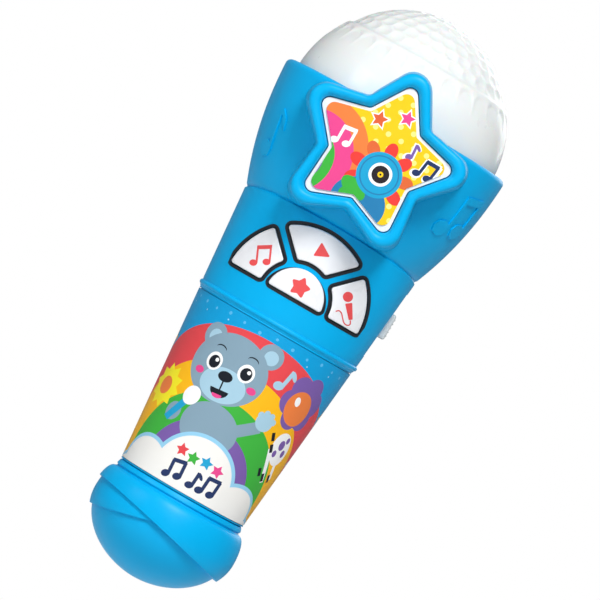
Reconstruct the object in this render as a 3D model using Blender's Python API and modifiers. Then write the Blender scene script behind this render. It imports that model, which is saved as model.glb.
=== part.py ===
"""A toy sing-along microphone, built from its real pieces. Metres, +Z up the microphone to its dome.

The origin is on the axis, halfway up the grip. The star window and the keys face -Y.
"""

import math

import bmesh
import bpy
from mathutils import Matrix, Vector

# Clearances
GAP = 0.0003
SLIDE_GAP = 0.0004

# Handle and head: one turned form, split into a front and a rear shell
WALL = 0.0023
GRIP_LENGTH = 0.0706
GRIP_BOTTOM_R = 0.0263
GRIP_TOP_R = 0.0329
BEAD_R = 0.0340
BEAD_WIDTH = 0.0034
PANEL_LENGTH = 0.0369
PANEL_BOTTOM_R = 0.0334
PANEL_TOP_R = 0.0368
COLLAR_LENGTH = 0.0507
RIM_R = 0.0470
RIM_LIP = 0.0046
ARCH_RISE = 0.0038
TURN_STEPS = 32

# Label, end cap and its snap joint
LABEL_THICKNESS = 0.0005
LABEL_BACK_Y = 0.0110
LABEL_MARGIN = 0.0007
SPIGOT_R = 0.0236
SPIGOT_LENGTH = 0.0100
SNAP_HEIGHT = 0.0006
CAP_R = 0.0305
CAP_SHOULDER = 0.0142
CAP_BOWL = 0.0227

# Dome
DOME_WALL = 0.0018
DOME_SEAT = 0.0028
UPPER_DOME_RISE = 0.0052
UPPER_DOME_SHRINK = 0.0040
DOME_STEP_HEIGHT = 0.0252

# Star window
STAR_ABOVE_RIM = -0.0169
STAR_PROUD = 0.0060
STAR_POINT_R = 0.0410
STAR_NOTCH_R = 0.0222
STAR_ROUNDING = 0.0068
WINDOW_POINT_R = 0.0313
WINDOW_NOTCH_R = 0.0180
WINDOW_ROUNDING = 0.0032
WINDOW_RECESS = 0.0025
WINDOW_THICKNESS = 0.0013
PICTURE_THICKNESS = 0.0003
PICTURE_MARGIN = 0.0016
LEDGE_WIDTH = 0.0020
LIGHT_PORT_R = 0.0110

# Keys, a fan round one centre
FAN_ABOVE_BEAD = 0.0113
FAN_INNER_R = 0.0143
FAN_OUTER_R = 0.0250
FAN_LANE = 0.0050
STAR_KEY_R = 0.0104
KEY_ROUNDING = 0.0010
KEY_PROUD = 0.0010
KEY_FLANGE = 0.0011
KEY_TRAVEL = 0.0012

# Electronics
BOARD_DEPTH = 0.0154
BOARD_THICKNESS = 0.0016
MEMBRANE_THICKNESS = 0.0010
MEMBRANE_DOME = 0.0010
LED_R = 0.0025
LED_BODY = 0.0068
SPEAKER_R = 0.0161
SPEAKER_MAGNET_R = 0.0090
SPEAKER_WALL = 0.0016
WIRE_R = 0.0006

# Battery compartment: two AA cells side by side
CELL_R = 0.00725
CELL_LENGTH = 0.0505
CELL_NUB_R = 0.00275
CELL_NUB = 0.0014
SPRING_SPACE = 0.0035
TRAY_WALL = 0.0010
TRAY_BELOW_DOOR = 0.0028
DOOR_SCREW_MARGIN = 0.0030

# Slide switch
SWITCH_TRAVEL = 0.0040
KNOB_LENGTH = 0.0105
KNOB_WIDTH = 0.0070
KNOB_PROUD = 0.0022
SWITCH_POCKET = 0.0280
SWITCH_Y = 0.0060

# Screws
SCREW_HEAD_R = 0.0020
SCREW_HEAD = 0.0014
SCREW_SHANK_R = 0.0009
BOSS_R = 0.0030

# Heights that follow from the sizes above
GRIP_TOP_Z = GRIP_LENGTH / 2
GRIP_BOTTOM_Z = -GRIP_TOP_Z
BEAD_TOP_Z = GRIP_TOP_Z + BEAD_WIDTH
PANEL_TOP_Z = BEAD_TOP_Z + PANEL_LENGTH
RIM_Z = PANEL_TOP_Z + COLLAR_LENGTH
DOME_Z = RIM_Z - 0.0018
DOME_R = RIM_R - RIM_LIP
STAR_Z = RIM_Z + STAR_ABOVE_RIM
FAN_Z = BEAD_TOP_Z + FAN_ABOVE_BEAD
LED_BOARD_Z = RIM_Z - 0.0140
CAP_MID_Z = GRIP_BOTTOM_Z - CAP_SHOULDER

# Depths that follow from the sizes above
STAR_FRONT_Y = -(RIM_R + STAR_PROUD)
BOARD_FRONT_Y = BOARD_DEPTH - PANEL_BOTTOM_R
BOARD_BACK_Y = BOARD_FRONT_Y + BOARD_THICKNESS
MEMBRANE_FRONT_Y = BOARD_FRONT_Y - GAP - MEMBRANE_THICKNESS
KEY_BACK_Y = MEMBRANE_FRONT_Y - MEMBRANE_DOME - GAP - KEY_TRAVEL

COLOURS = {
    "blue_plastic": ((0.0, 0.42, 0.82), 0.25, 0.0),
    "dome_white": ((0.93, 0.94, 0.92), 0.35, 0.0),
    "white_plastic": ((0.90, 0.90, 0.90), 0.30, 0.0),
    "label_print": ((0.80, 0.25, 0.22), 0.45, 0.0),
    "picture_print": ((0.90, 0.80, 0.15), 0.40, 0.0),
    "grey_rubber": ((0.35, 0.36, 0.38), 0.80, 0.0),
    "board_green": ((0.03, 0.22, 0.09), 0.45, 0.0),
    "chip_black": ((0.02, 0.02, 0.02), 0.50, 0.0),
    "led_clear": ((0.85, 0.88, 0.90), 0.10, 0.0),
    "steel": ((0.62, 0.63, 0.65), 0.30, 1.0),
    "magnet": ((0.30, 0.30, 0.32), 0.40, 1.0),
    "paper_cone": ((0.05, 0.05, 0.05), 0.90, 0.0),
    "grey_plastic": ((0.62, 0.64, 0.64), 0.40, 0.0),
    "black_plastic": ((0.03, 0.03, 0.03), 0.45, 0.0),
    "cell_wrap": ((0.12, 0.13, 0.15), 0.35, 0.0),
    "wire_red": ((0.70, 0.03, 0.03), 0.45, 0.0),
    "wire_black": ((0.02, 0.02, 0.02), 0.45, 0.0),
}


# ---------------------------------------------------------------- scene and materials


def clear_scene():
    for obj in list(bpy.data.objects):
        bpy.data.objects.remove(obj, do_unlink=True)


def new_collection(name):
    collection = bpy.data.collections.new(name)
    bpy.context.scene.collection.children.link(collection)
    return collection


def make_material(name):
    colour, roughness, metallic = COLOURS[name]
    material = bpy.data.materials.new(name)
    material.use_nodes = True
    shader = material.node_tree.nodes["Principled BSDF"]
    shader.inputs["Base Color"].default_value = (*colour, 1.0)
    shader.inputs["Roughness"].default_value = roughness
    shader.inputs["Metallic"].default_value = metallic
    return material


clear_scene()
PARTS = new_collection("toy_microphone")
CUTTERS = new_collection("cutters")
MATERIALS = {name: make_material(name) for name in COLOURS}


# ---------------------------------------------------------------- shapes


def add_object(name, data):
    """A helper shape: it stays hidden until finish() makes it a part."""
    obj = bpy.data.objects.new(name, data)
    CUTTERS.objects.link(obj)
    obj.hide_render = True
    obj.display_type = "WIRE"
    return obj


def mesh_object(name, shape):
    mesh = bpy.data.meshes.new(name)
    shape.to_mesh(mesh)
    shape.free()
    return add_object(name, mesh)


def applied(obj):
    """The same shape as a plain mesh, with its loose caps welded."""
    name = obj.name
    bpy.context.view_layer.update()
    graph = bpy.context.evaluated_depsgraph_get()
    mesh = bpy.data.meshes.new_from_object(obj.evaluated_get(graph))
    mesh.transform(obj.matrix_world)
    bpy.data.objects.remove(obj)
    shape = bmesh.new()
    shape.from_mesh(mesh)
    bmesh.ops.remove_doubles(shape, verts=shape.verts, dist=1e-6)
    bpy.data.meshes.remove(mesh)
    return mesh_object(name, shape)


def box(name, low, high):
    low, high = Vector(low), Vector(high)
    shape = bmesh.new()
    bmesh.ops.create_cube(shape, size=1.0)
    place = Matrix.Translation((low + high) / 2) @ Matrix.Diagonal((*(high - low), 1.0))
    bmesh.ops.transform(shape, matrix=place, verts=shape.verts)
    return mesh_object(name, shape)


def rod(name, start, end, radius, end_radius=None, sides=16):
    start, end = Vector(start), Vector(end)
    shape = bmesh.new()
    bmesh.ops.create_cone(
        shape,
        cap_ends=True,
        segments=sides,
        radius1=radius,
        radius2=radius if end_radius is None else end_radius,
        depth=(end - start).length,
    )
    turn = Vector((0, 0, 1)).rotation_difference(end - start).to_matrix().to_4x4()
    place = Matrix.Translation((start + end) / 2) @ turn
    bmesh.ops.transform(shape, matrix=place, verts=shape.verts)
    return mesh_object(name, shape)


def turned(name, outline, steps=TURN_STEPS):
    """A closed outline of (radius, height), outer side top to bottom first, turned round +Z."""
    mesh = bpy.data.meshes.new(name)
    points = [(radius, 0.0, height) for radius, height in outline]
    closed = outline[0][0] > 0 or outline[-1][0] > 0
    edges = [(i, i + 1) for i in range(len(points) - 1)]
    if closed:
        edges.append((len(points) - 1, 0))
    mesh.from_pydata(points, edges, [])
    obj = add_object(name, mesh)
    screw = obj.modifiers.new("Turn", "SCREW")
    screw.steps = steps
    screw.render_steps = steps
    screw.use_merge_vertices = True
    screw.merge_threshold = 1e-6
    return applied(obj)


def turned_round_y(name, outline, centre, steps=24):
    """An outline of (radius, y), outer side from the largest y first, turned round a line along +Y."""
    obj = turned(name, outline, steps)
    place = Matrix.Translation(centre) @ Matrix.Rotation(math.radians(-90), 4, "X")
    obj.data.transform(place)
    return obj


def plate(name, loops, front_y, back_y):
    """Flat outlines of (x, z), the later ones holes, given a thickness along Y."""
    curve = bpy.data.curves.new(name, "CURVE")
    curve.dimensions = "2D"
    curve.fill_mode = "BOTH"
    curve.extrude = (back_y - front_y) / 2
    for loop in loops:
        spline = curve.splines.new("POLY")
        spline.points.add(len(loop) - 1)
        for point, (x, z) in zip(spline.points, loop):
            point.co = (x, z, 0.0, 1.0)
        spline.use_cyclic_u = True
    obj = add_object(name, curve)
    obj.rotation_euler.x = math.radians(90)
    obj.location.y = (front_y + back_y) / 2
    return applied(obj)


def arc(centre, radius, start, end, steps):
    """Points on an arc, angles in radians, both ends included."""
    return [
        (
            centre[0] + radius * math.cos(start + (end - start) * i / steps),
            centre[1] + radius * math.sin(start + (end - start) * i / steps),
        )
        for i in range(steps + 1)
    ]


def rounded(corners, radii, steps=4):
    """A closed outline whose corners are given arcs of these radii."""
    outline = []
    for i, corner in enumerate(corners):
        here = Vector(corner)
        before = (Vector(corners[i - 1]) - here).normalized()
        after = (Vector(corners[(i + 1) % len(corners)]) - here).normalized()
        half = before.angle(after) / 2
        centre = here + (before + after).normalized() * radii[i] / math.sin(half)
        start = here + before * radii[i] / math.tan(half) - centre
        end = here + after * radii[i] / math.tan(half) - centre
        first = math.atan2(start.y, start.x)
        sweep = math.remainder(math.atan2(end.y, end.x) - first, 2 * math.pi)
        outline += arc(centre, radii[i], first, first + sweep, steps)
    return outline


def star_outline(point_r, notch_r, rounding, height=STAR_Z):
    corners = []
    for i in range(10):
        radius = notch_r if i % 2 else point_r
        angle = math.radians(90 + 36 * i)
        corners.append((radius * math.cos(angle), height + radius * math.sin(angle)))
    return rounded(corners, [rounding, 0.001] * 5)


def fan_outline(start, end, inset, grow=0.0):
    """A key of the fan between two angles in degrees, its sides moved in by inset and all of it grown."""
    start, end = math.radians(start), math.radians(end)
    rounding = KEY_ROUNDING + max(grow, 0.0)
    outer, inner = FAN_OUTER_R + grow, FAN_INNER_R - grow
    side = inset - grow + rounding

    def at(radius, angle):
        return (radius * math.cos(angle), FAN_Z + radius * math.sin(angle))

    lean_outer = math.asin(side / (outer - rounding))
    lean_inner = math.asin(side / (inner + rounding))
    first, last = start + lean_outer, end - lean_outer
    outline = arc(at(outer - rounding, first), rounding, start - math.pi / 2, first, 2)
    outline += arc((0, FAN_Z), outer, first, last, 6)[1:-1]
    outline += arc(at(outer - rounding, last), rounding, last, end + math.pi / 2, 2)
    first, last = end - lean_inner, start + lean_inner
    outline += arc(at(inner + rounding, first), rounding, end + math.pi / 2, first + math.pi, 2)
    outline += arc((0, FAN_Z), inner, first, last, 5)[1:-1]
    outline += arc(at(inner + rounding, last), rounding, last + math.pi, start + 1.5 * math.pi, 2)
    return outline


def half_disc_outline(grow=0.0):
    radius = STAR_KEY_R + grow
    rounding = KEY_ROUNDING + max(grow, 0.0)
    lift = FAN_Z - grow
    lean = math.asin(rounding / (radius - rounding))
    reach = (radius - rounding) * math.cos(lean)
    outline = arc((reach, lift + rounding), rounding, -math.pi / 2, lean, 3)
    outline += arc((0, lift), radius, lean, math.pi - lean, 12)[1:-1]
    outline += arc((-reach, lift + rounding), rounding, math.pi - lean, 1.5 * math.pi, 3)
    return outline


# ---------------------------------------------------------------- joining and finishing


def combine(obj, other, operation):
    modifier = obj.modifiers.new(other.name, "BOOLEAN")
    modifier.operation = operation
    modifier.object = other
    modifier.solver = "EXACT"
    return obj


def cut(obj, *others):
    for other in others:
        combine(obj, other, "DIFFERENCE")
    return obj


def join(obj, *others):
    for other in others:
        combine(obj, other, "UNION")
    return obj


def keep(obj, other):
    return combine(obj, other, "INTERSECT")


def finish(obj, name, material, origin=None):
    """Makes a helper shape a part, with its origin on its joint where it moves."""
    obj.name = name
    CUTTERS.objects.unlink(obj)
    PARTS.objects.link(obj)
    obj.hide_render = False
    obj.display_type = "TEXTURED"
    obj.data.materials.clear()
    obj.data.materials.append(MATERIALS[material])
    if origin is not None:
        obj.data.transform(Matrix.Translation(-Vector(origin)))
        obj.location = origin
    if obj.type == "MESH":
        obj.data.shade_smooth()
        obj.data.set_sharp_from_angle(angle=math.radians(35))
    return obj


# ---------------------------------------------------------------- outlines of the body


def grip_radius(z):
    share = (z - GRIP_BOTTOM_Z) / GRIP_LENGTH
    return GRIP_BOTTOM_R + (GRIP_TOP_R - GRIP_BOTTOM_R) * share


def panel_radius(z):
    share = (z - BEAD_TOP_Z) / PANEL_LENGTH
    return PANEL_BOTTOM_R + (PANEL_TOP_R - PANEL_BOTTOM_R) * share


def collar_radius(z):
    """A flare that is steep at its foot and nearly straight below the rim."""
    foot = PANEL_TOP_Z + 0.0019
    share = (z - foot) / (RIM_Z - 0.0020 - foot)
    flare = 0.75 * (1 - (1 - share) ** 2.2) + 0.25 * share
    return PANEL_TOP_R + 0.0002 + (RIM_R - PANEL_TOP_R - 0.0002) * flare


def collar_heights(count):
    foot, top = PANEL_TOP_Z + 0.0019, RIM_Z - 0.0020
    return [foot + (top - foot) * i / count for i in range(count + 1)]


def outer_outline():
    """(radius, height) of the head, bead and grip, from the rim down to the grip's end."""
    outline = [(RIM_R - 0.0008, RIM_Z)]
    outline += [(collar_radius(z), z) for z in reversed(collar_heights(5))]
    outline += [
        (PANEL_TOP_R - 0.0006, PANEL_TOP_Z + 0.0010),
        (PANEL_TOP_R, PANEL_TOP_Z),
        (PANEL_BOTTOM_R, BEAD_TOP_Z),
        (BEAD_R, BEAD_TOP_Z - 0.0004),
        (BEAD_R, GRIP_TOP_Z + 0.0008),
        (GRIP_TOP_R, GRIP_TOP_Z),
        (GRIP_BOTTOM_R, GRIP_BOTTOM_Z),
    ]
    return outline


def raise_front(obj):
    """Arches the crease between panel and collar: it stands higher in front than at the sides."""
    reach = 0.0170
    for vertex in obj.data.vertices:
        radius = math.hypot(vertex.co.x, vertex.co.y)
        away = abs(vertex.co.z - PANEL_TOP_Z) / reach
        if radius > 0.001 and away < 1 and vertex.co.y < 0:
            vertex.co.z += ARCH_RISE * -vertex.co.y / radius * (1 - away) ** 1.5
    return obj


def body_form(name, grow):
    """The solid body, grown or shrunk by a clearance, for fitting other pieces to it."""
    outline = [(radius + grow, z) for radius, z in outer_outline()]
    outline[0] = (outline[0][0], RIM_Z + grow)
    outline[-1] = (outline[-1][0], GRIP_BOTTOM_Z - grow)
    return raise_front(turned(name, [(0.0, outline[0][1]), *outline, (0.0, outline[-1][1])]))


def dome_form(name, grow):
    """The dome's lower sphere as a solid, for fitting the star to it."""
    outline = arc((0, DOME_Z), DOME_R + grow, math.pi / 2, 0, 10)
    outline[0] = (0.0, outline[0][1])
    return turned(name, [*outline, (0.0, DOME_Z)])


# ---------------------------------------------------------------- shells


DOME_GROOVE_TOP = RIM_Z - RIM_LIP
DOME_GROOVE_BOTTOM = DOME_GROOVE_TOP - DOME_SEAT - 2 * GAP
DOME_BORE_R = DOME_R + 0.0007
DOME_FLANGE_R = DOME_R + 0.0024
LED_RIB = 0.0016
LED_RIB_R = RIM_R - 0.0065
UPPER_DOME_R = DOME_R - UPPER_DOME_SHRINK


def shell_outline():
    """The wall's outline: outside from rim to spigot, then inside from spigot to rim."""
    outer = outer_outline()
    spigot_end = GRIP_BOTTOM_Z - SPIGOT_LENGTH
    snap = spigot_end + 0.0026
    outer += [
        (SPIGOT_R, GRIP_BOTTOM_Z),
        (SPIGOT_R, snap + 0.0012),
        (SPIGOT_R + SNAP_HEIGHT, snap + 0.0005),
        (SPIGOT_R + SNAP_HEIGHT, snap - 0.0005),
        (SPIGOT_R, snap - 0.0012),
        (SPIGOT_R, spigot_end),
    ]
    label_depth = LABEL_THICKNESS + GAP
    inner = [
        (SPIGOT_R - WALL, spigot_end),
        (SPIGOT_R - WALL, GRIP_BOTTOM_Z - 0.0010),
        (GRIP_BOTTOM_R - label_depth - WALL, GRIP_BOTTOM_Z + 0.0012),
        (GRIP_TOP_R - label_depth - WALL, GRIP_TOP_Z),
        (PANEL_BOTTOM_R - WALL, BEAD_TOP_Z),
        (PANEL_TOP_R - WALL, PANEL_TOP_Z),
    ]
    inner += [
        (collar_radius(z) - WALL, z)
        for z in collar_heights(5)
        if PANEL_TOP_Z < z < LED_BOARD_Z - LED_RIB - 0.0010
    ]
    board_low, board_high = LED_BOARD_Z - GAP, LED_BOARD_Z + BOARD_THICKNESS + GAP
    groove_r = collar_radius(board_low) - WALL
    inner += [
        (groove_r, board_low - LED_RIB),
        (LED_RIB_R, board_low - LED_RIB),
        (LED_RIB_R, board_low),
        (groove_r, board_low),
        (groove_r, board_high),
        (LED_RIB_R, board_high),
        (LED_RIB_R, board_high + LED_RIB),
        (DOME_BORE_R, board_high + LED_RIB),
        (DOME_BORE_R, DOME_GROOVE_BOTTOM),
        (DOME_FLANGE_R + GAP, DOME_GROOVE_BOTTOM),
        (DOME_FLANGE_R + GAP, DOME_GROOVE_TOP),
        (DOME_BORE_R, DOME_GROOVE_TOP),
        (DOME_BORE_R, RIM_Z),
    ]
    return outer + inner


def label_ring(name, low_depth, high_depth, margin, back_y):
    """A cone ring under the grip's surface, cut off behind back_y."""
    low, high = GRIP_BOTTOM_Z + margin, GRIP_TOP_Z - margin
    outline = [
        (grip_radius(high) - high_depth, high),
        (grip_radius(low) - high_depth, low),
        (grip_radius(low) - low_depth, low),
        (grip_radius(high) - low_depth, high),
    ]
    ring = turned(name, outline)
    far = 2 * RIM_R
    return cut(ring, box(name + "_back", (-far, back_y, -far), (far, far, far)))


TRAY_HALF_WIDTH = 2 * CELL_R + 2 * GAP + TRAY_WALL + 0.0002
CASE_SCREWS = [
    (TRAY_HALF_WIDTH + BOSS_R + 0.0010, GRIP_BOTTOM_Z + 0.0103),
    (PANEL_BOTTOM_R - 0.0074, BEAD_TOP_Z + 0.0013),
    (RIM_R - 0.0110, PANEL_TOP_Z + 0.0244),
]
SCREW_SEAT_Y = 0.0060
SCREW_TIP_Y = -0.0085


def case_screw_places():
    return [(side * x, z) for x, z in CASE_SCREWS for side in (-1, 1)]


def screw_boss(name, x, z, from_y, to_y):
    return rod(name, (x, from_y, z), (x, to_y, z), BOSS_R)


SPEAKER_Z = PANEL_TOP_Z + 0.0154
SPEAKER_FRONT_Y = PANEL_TOP_R - 0.0076
SWITCH_Z = (FAN_Z + FAN_Z + 0.0143) / 2
SWITCH_FLOOR_X = PANEL_BOTTOM_R + 0.0002
DOOR_HALF_WIDTH = 2 * CELL_R + 0.0020
TRAY_LOW_Z = GRIP_BOTTOM_Z + 0.0043
CELL_SPACE = CELL_LENGTH + SPRING_SPACE
TRAY_HIGH_Z = TRAY_LOW_Z + CELL_SPACE + 2 * TRAY_WALL + 0.0020
DOOR_LOW_Z = TRAY_LOW_Z
DOOR_HIGH_Z = TRAY_HIGH_Z + 2 * DOOR_SCREW_MARGIN
DOOR_SCREW_Z = TRAY_HIGH_Z + DOOR_SCREW_MARGIN
BOARD_HALF_WIDTH = CASE_SCREWS[1][0] - BOSS_R - 0.0030
BOARD_LOW_Z = BEAD_TOP_Z + 0.0023
BOARD_HIGH_Z = LED_BOARD_Z - 0.0060
UPPER_BOARD_SCREW = (0.0090, PANEL_TOP_Z + 0.0049)
LOWER_BOARD_SCREW = (BOARD_HALF_WIDTH - 0.0050, BEAD_TOP_Z + 0.0058)
LIGHT_PORT_Z = STAR_Z - LIGHT_PORT_R
BEZEL_POST_R = 0.0022
BEZEL_POST_AT = 0.0310
BEZEL_POST_X = BEZEL_POST_AT * math.sin(math.radians(36))
BEZEL_POST_Z = STAR_Z - BEZEL_POST_AT * math.cos(math.radians(36))
BEZEL_POST_END_Y = -(PANEL_TOP_R - 0.0058)


def board_screw_places():
    upper = [(side * UPPER_BOARD_SCREW[0], UPPER_BOARD_SCREW[1]) for side in (-1, 1)]
    lower = [(side * LOWER_BOARD_SCREW[0], LOWER_BOARD_SCREW[1]) for side in (-1, 1)]
    return upper + lower


KEYS = {
    "play_key": lambda grow: fan_outline(45, 135, FAN_LANE, grow),
    "note_key": lambda grow: fan_outline(135, 180, 0.0, grow),
    "record_key": lambda grow: fan_outline(0, 45, 0.0, grow),
    "star_key": half_disc_outline,
}


def make_half(name, front):
    far = 2 * RIM_R
    half = raise_front(turned(name, shell_outline()))
    if front:
        other = box(name + "_other", (-far, -GAP / 2, -far), (far, far, 2 * far))
    else:
        other = box(name + "_other", (-far, -far, -far), (far, GAP / 2, 2 * far))
    cut(half, other)
    form = body_form(name + "_form", -WALL / 2)
    side = -1 if front else 1
    for i, (x, z) in enumerate(case_screw_places()):
        boss = screw_boss(f"{name}_boss_{i}", x, z, side * RIM_R, side * GAP / 2)
        join(half, keep(boss, form))
    return half, form


def cut_switch_pocket(half):
    half_length = SWITCH_POCKET / 2
    pocket = box(
        half.name + "_switch_pocket",
        (SWITCH_FLOOR_X, SWITCH_Y - 0.0100, SWITCH_Z - half_length),
        (2 * RIM_R, SWITCH_Y + 0.0070, SWITCH_Z + half_length),
    )
    return cut(half, pocket)


def make_front_shell():
    half, form = make_half("front_shell", front=True)
    for i, (x, z) in enumerate(board_screw_places()):
        boss = screw_boss(f"board_boss_{i}", x, z, -RIM_R, BOARD_FRONT_Y - GAP)
        join(half, keep(boss, form))
        pilot = rod(f"board_pilot_{i}", (x, BOARD_FRONT_Y - 0.0060, z), (x, 0, z), 0.0012, sides=12)
        cut(half, pilot)
    cut(
        half,
        label_ring(
            "front_label_seat",
            LABEL_THICKNESS + GAP,
            -0.0020,
            LABEL_MARGIN - GAP,
            LABEL_BACK_Y + GAP,
        ),
    )
    for key, outline in KEYS.items():
        cut(half, plate(key + "_hole", [outline(SLIDE_GAP)], -RIM_R, KEY_BACK_Y + 0.0015))
    port = rod(
        "light_port",
        (0, -1.2 * RIM_R, LIGHT_PORT_Z),
        (0, -0.6 * RIM_R, LIGHT_PORT_Z),
        LIGHT_PORT_R,
        sides=24,
    )
    cut(half, port)
    for side in (-1, 1):
        x = side * BEZEL_POST_X
        hole = rod(
            f"post_hole_{side}",
            (x, -RIM_R, BEZEL_POST_Z),
            (x, -0.5 * RIM_R, BEZEL_POST_Z),
            BEZEL_POST_R + SLIDE_GAP,
        )
        cut(half, hole)
    for i, (x, z) in enumerate(case_screw_places()):
        cut(half, rod(f"case_pilot_{i}", (x, SCREW_TIP_Y - 0.0010, z), (x, 0.001, z), 0.0012, sides=12))
    cut_switch_pocket(half)
    return finish(half, "front_shell", "blue_plastic")


def speaker_holder(form):
    outer, inner = SPEAKER_R + GAP + SPEAKER_WALL, SPEAKER_R + GAP
    outline = [
        (outer, RIM_R),
        (outer, SPEAKER_FRONT_Y - 0.0040),
        (inner, SPEAKER_FRONT_Y - 0.0040),
        (inner, RIM_R),
    ]
    holder = turned_round_y("speaker_holder", outline, (0, 0, SPEAKER_Z), steps=24)
    return keep(holder, form)


def grille_slots():
    """Level slots behind the speaker, each as long as the round field is wide there."""
    slots = []
    field, pitch, half_slot = SPEAKER_R - 0.0035, 0.0038, 0.0009
    for row in range(-3, 4):
        z = SPEAKER_Z + row * pitch
        reach = math.sqrt(field**2 - (row * pitch) ** 2)
        low = (-reach, SPEAKER_FRONT_Y + 0.0010, z - half_slot)
        slots.append(box(f"grille_slot_{row}", low, (reach, 1.2 * RIM_R, z + half_slot)))
    return slots


def make_rear_shell():
    half, form = make_half("rear_shell", front=False)
    cut(
        half,
        label_ring(
            "rear_label_seat",
            LABEL_THICKNESS + GAP,
            -0.0020,
            LABEL_MARGIN - GAP,
            LABEL_BACK_Y + GAP,
        ),
    )
    join(half, speaker_holder(form))
    cut(half, *grille_slots())
    for i, (x, z) in enumerate(case_screw_places()):
        cut(half, rod(f"case_hole_{i}", (x, -0.001, z), (x, 1.2 * RIM_R, z), 0.0013, sides=12))
        cut(
            half,
            rod(
                f"counterbore_{i}",
                (x, SCREW_SEAT_Y, z),
                (x, 1.2 * RIM_R, z),
                SCREW_HEAD_R + SLIDE_GAP,
                sides=12,
            ),
        )
    opening = box(
        "door_opening",
        (-DOOR_HALF_WIDTH - GAP, 0.0140, DOOR_LOW_Z - GAP),
        (DOOR_HALF_WIDTH + GAP, 1.2 * RIM_R, DOOR_HIGH_Z + GAP),
    )
    cut(half, opening)
    cut_switch_pocket(half)
    slot_reach = SWITCH_TRAVEL + 0.0030 + SLIDE_GAP
    slot = box(
        "switch_slot",
        (SWITCH_FLOOR_X - 0.0060, SWITCH_Y - 0.0020, SWITCH_Z - slot_reach),
        (SWITCH_FLOOR_X + 0.0010, SWITCH_Y + 0.0020, SWITCH_Z + slot_reach),
    )
    cut(half, slot)
    return finish(half, "rear_shell", "blue_plastic")


def make_label():
    ring = label_ring("grip_label", LABEL_THICKNESS, 0.0, LABEL_MARGIN, LABEL_BACK_Y)
    return finish(ring, "grip_label", "label_print")


def make_end_cap():
    """A bowl whose mouth snaps over the shells' spigot."""
    top = GRIP_BOTTOM_Z - GAP
    mouth_r = SPIGOT_R + GAP
    snap = GRIP_BOTTOM_Z - SPIGOT_LENGTH + 0.0026
    lip_r = GRIP_BOTTOM_R
    outline = [(lip_r, top), (lip_r + 0.0002, top - 0.0022)]
    shoulder = top - 0.0030
    for i in range(1, 4):
        angle = math.radians(90 * i / 3)
        radius = lip_r + 0.0004 + (CAP_R - lip_r - 0.0004) * math.sin(angle)
        outline.append((radius, shoulder + (CAP_MID_Z - shoulder) * (1 - math.cos(angle))))
    for i in range(1, 7):
        angle = math.radians(90 * i / 6)
        outline.append((CAP_R * math.cos(angle), CAP_MID_Z - CAP_BOWL * math.sin(angle)))
    outline[-1] = (0.0, outline[-1][1])
    for i in range(6, -1, -1):
        angle = math.radians(90 * i / 6)
        bowl = ((CAP_R - WALL) * math.cos(angle), CAP_MID_Z - (CAP_BOWL - WALL) * math.sin(angle))
        outline.append((0.0, bowl[1]) if i == 6 else bowl)
    ledge = GRIP_BOTTOM_Z - SPIGOT_LENGTH - 0.0006
    outline += [
        (mouth_r, ledge),
        (mouth_r, snap - 0.0015),
        (mouth_r + SNAP_HEIGHT, snap - 0.0008),
        (mouth_r + SNAP_HEIGHT, snap + 0.0008),
        (mouth_r, snap + 0.0015),
        (mouth_r, top),
    ]
    return finish(turned("end_cap", outline), "end_cap", "blue_plastic")


# ---------------------------------------------------------------- dome and star


def make_dome():
    """A thin shell: a sphere, a smaller sphere stepped in above it, and a flange under the rim."""
    step_z = DOME_Z + DOME_STEP_HEIGHT
    upper_z = DOME_Z + UPPER_DOME_RISE
    flange_top, flange_low = DOME_GROOVE_TOP - GAP, DOME_GROOVE_BOTTOM + GAP

    def side(shrink, count_upper, count_lower):
        upper, lower = UPPER_DOME_R - shrink, DOME_R - shrink
        start = math.asin((step_z - upper_z) / upper)
        points = arc((0, upper_z), upper, math.pi / 2, start, count_upper)
        start = math.asin((step_z - DOME_Z) / lower)
        points += arc((0, DOME_Z), lower, start, 0, count_lower)
        points[0] = (0.0, points[0][1])
        return points

    outline = side(0.0, 6, 4)
    outline += [
        (DOME_R, flange_top),
        (DOME_FLANGE_R, flange_top),
        (DOME_FLANGE_R, flange_low),
        (DOME_R - DOME_WALL, flange_low),
    ]
    outline += reversed(side(DOME_WALL, 6, 4))
    return finish(turned("dome", outline), "dome", "dome_white")


def make_star_bezel():
    """A star ring that stands on the collar and the dome, with a ledge for its window and two posts."""
    outer = star_outline(STAR_POINT_R, STAR_NOTCH_R, STAR_ROUNDING)
    window = star_outline(WINDOW_POINT_R, WINDOW_NOTCH_R, WINDOW_ROUNDING)
    bezel = plate("star_bezel", [outer, window], STAR_FRONT_Y, -0.5 * RIM_R)
    seat_y = STAR_FRONT_Y + WINDOW_RECESS + WINDOW_THICKNESS + GAP
    wide = star_outline(WINDOW_POINT_R + 0.0030, WINDOW_NOTCH_R + 0.0010, WINDOW_ROUNDING)
    narrow = star_outline(WINDOW_POINT_R - 1.5 * LEDGE_WIDTH, WINDOW_NOTCH_R - LEDGE_WIDTH, 0.0015)
    join(bezel, plate("star_ledge", [wide, narrow], seat_y, seat_y + 0.0012))
    cut(bezel, body_form("bezel_body_fit", GAP), dome_form("bezel_dome_fit", GAP + 0.0001))
    for side in (-1, 1):
        x = side * BEZEL_POST_X
        post = rod(
            f"bezel_post_{side}",
            (x, STAR_FRONT_Y + 0.0060, BEZEL_POST_Z),
            (x, BEZEL_POST_END_Y, BEZEL_POST_Z),
            BEZEL_POST_R,
        )
        pilot = rod(
            f"bezel_pilot_{side}",
            (x, BEZEL_POST_END_Y - 0.0070, BEZEL_POST_Z),
            (x, 0, BEZEL_POST_Z),
            0.0012,
            sides=12,
        )
        cut(join(bezel, post), pilot)
    return finish(bezel, "star_bezel", "blue_plastic")


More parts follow.
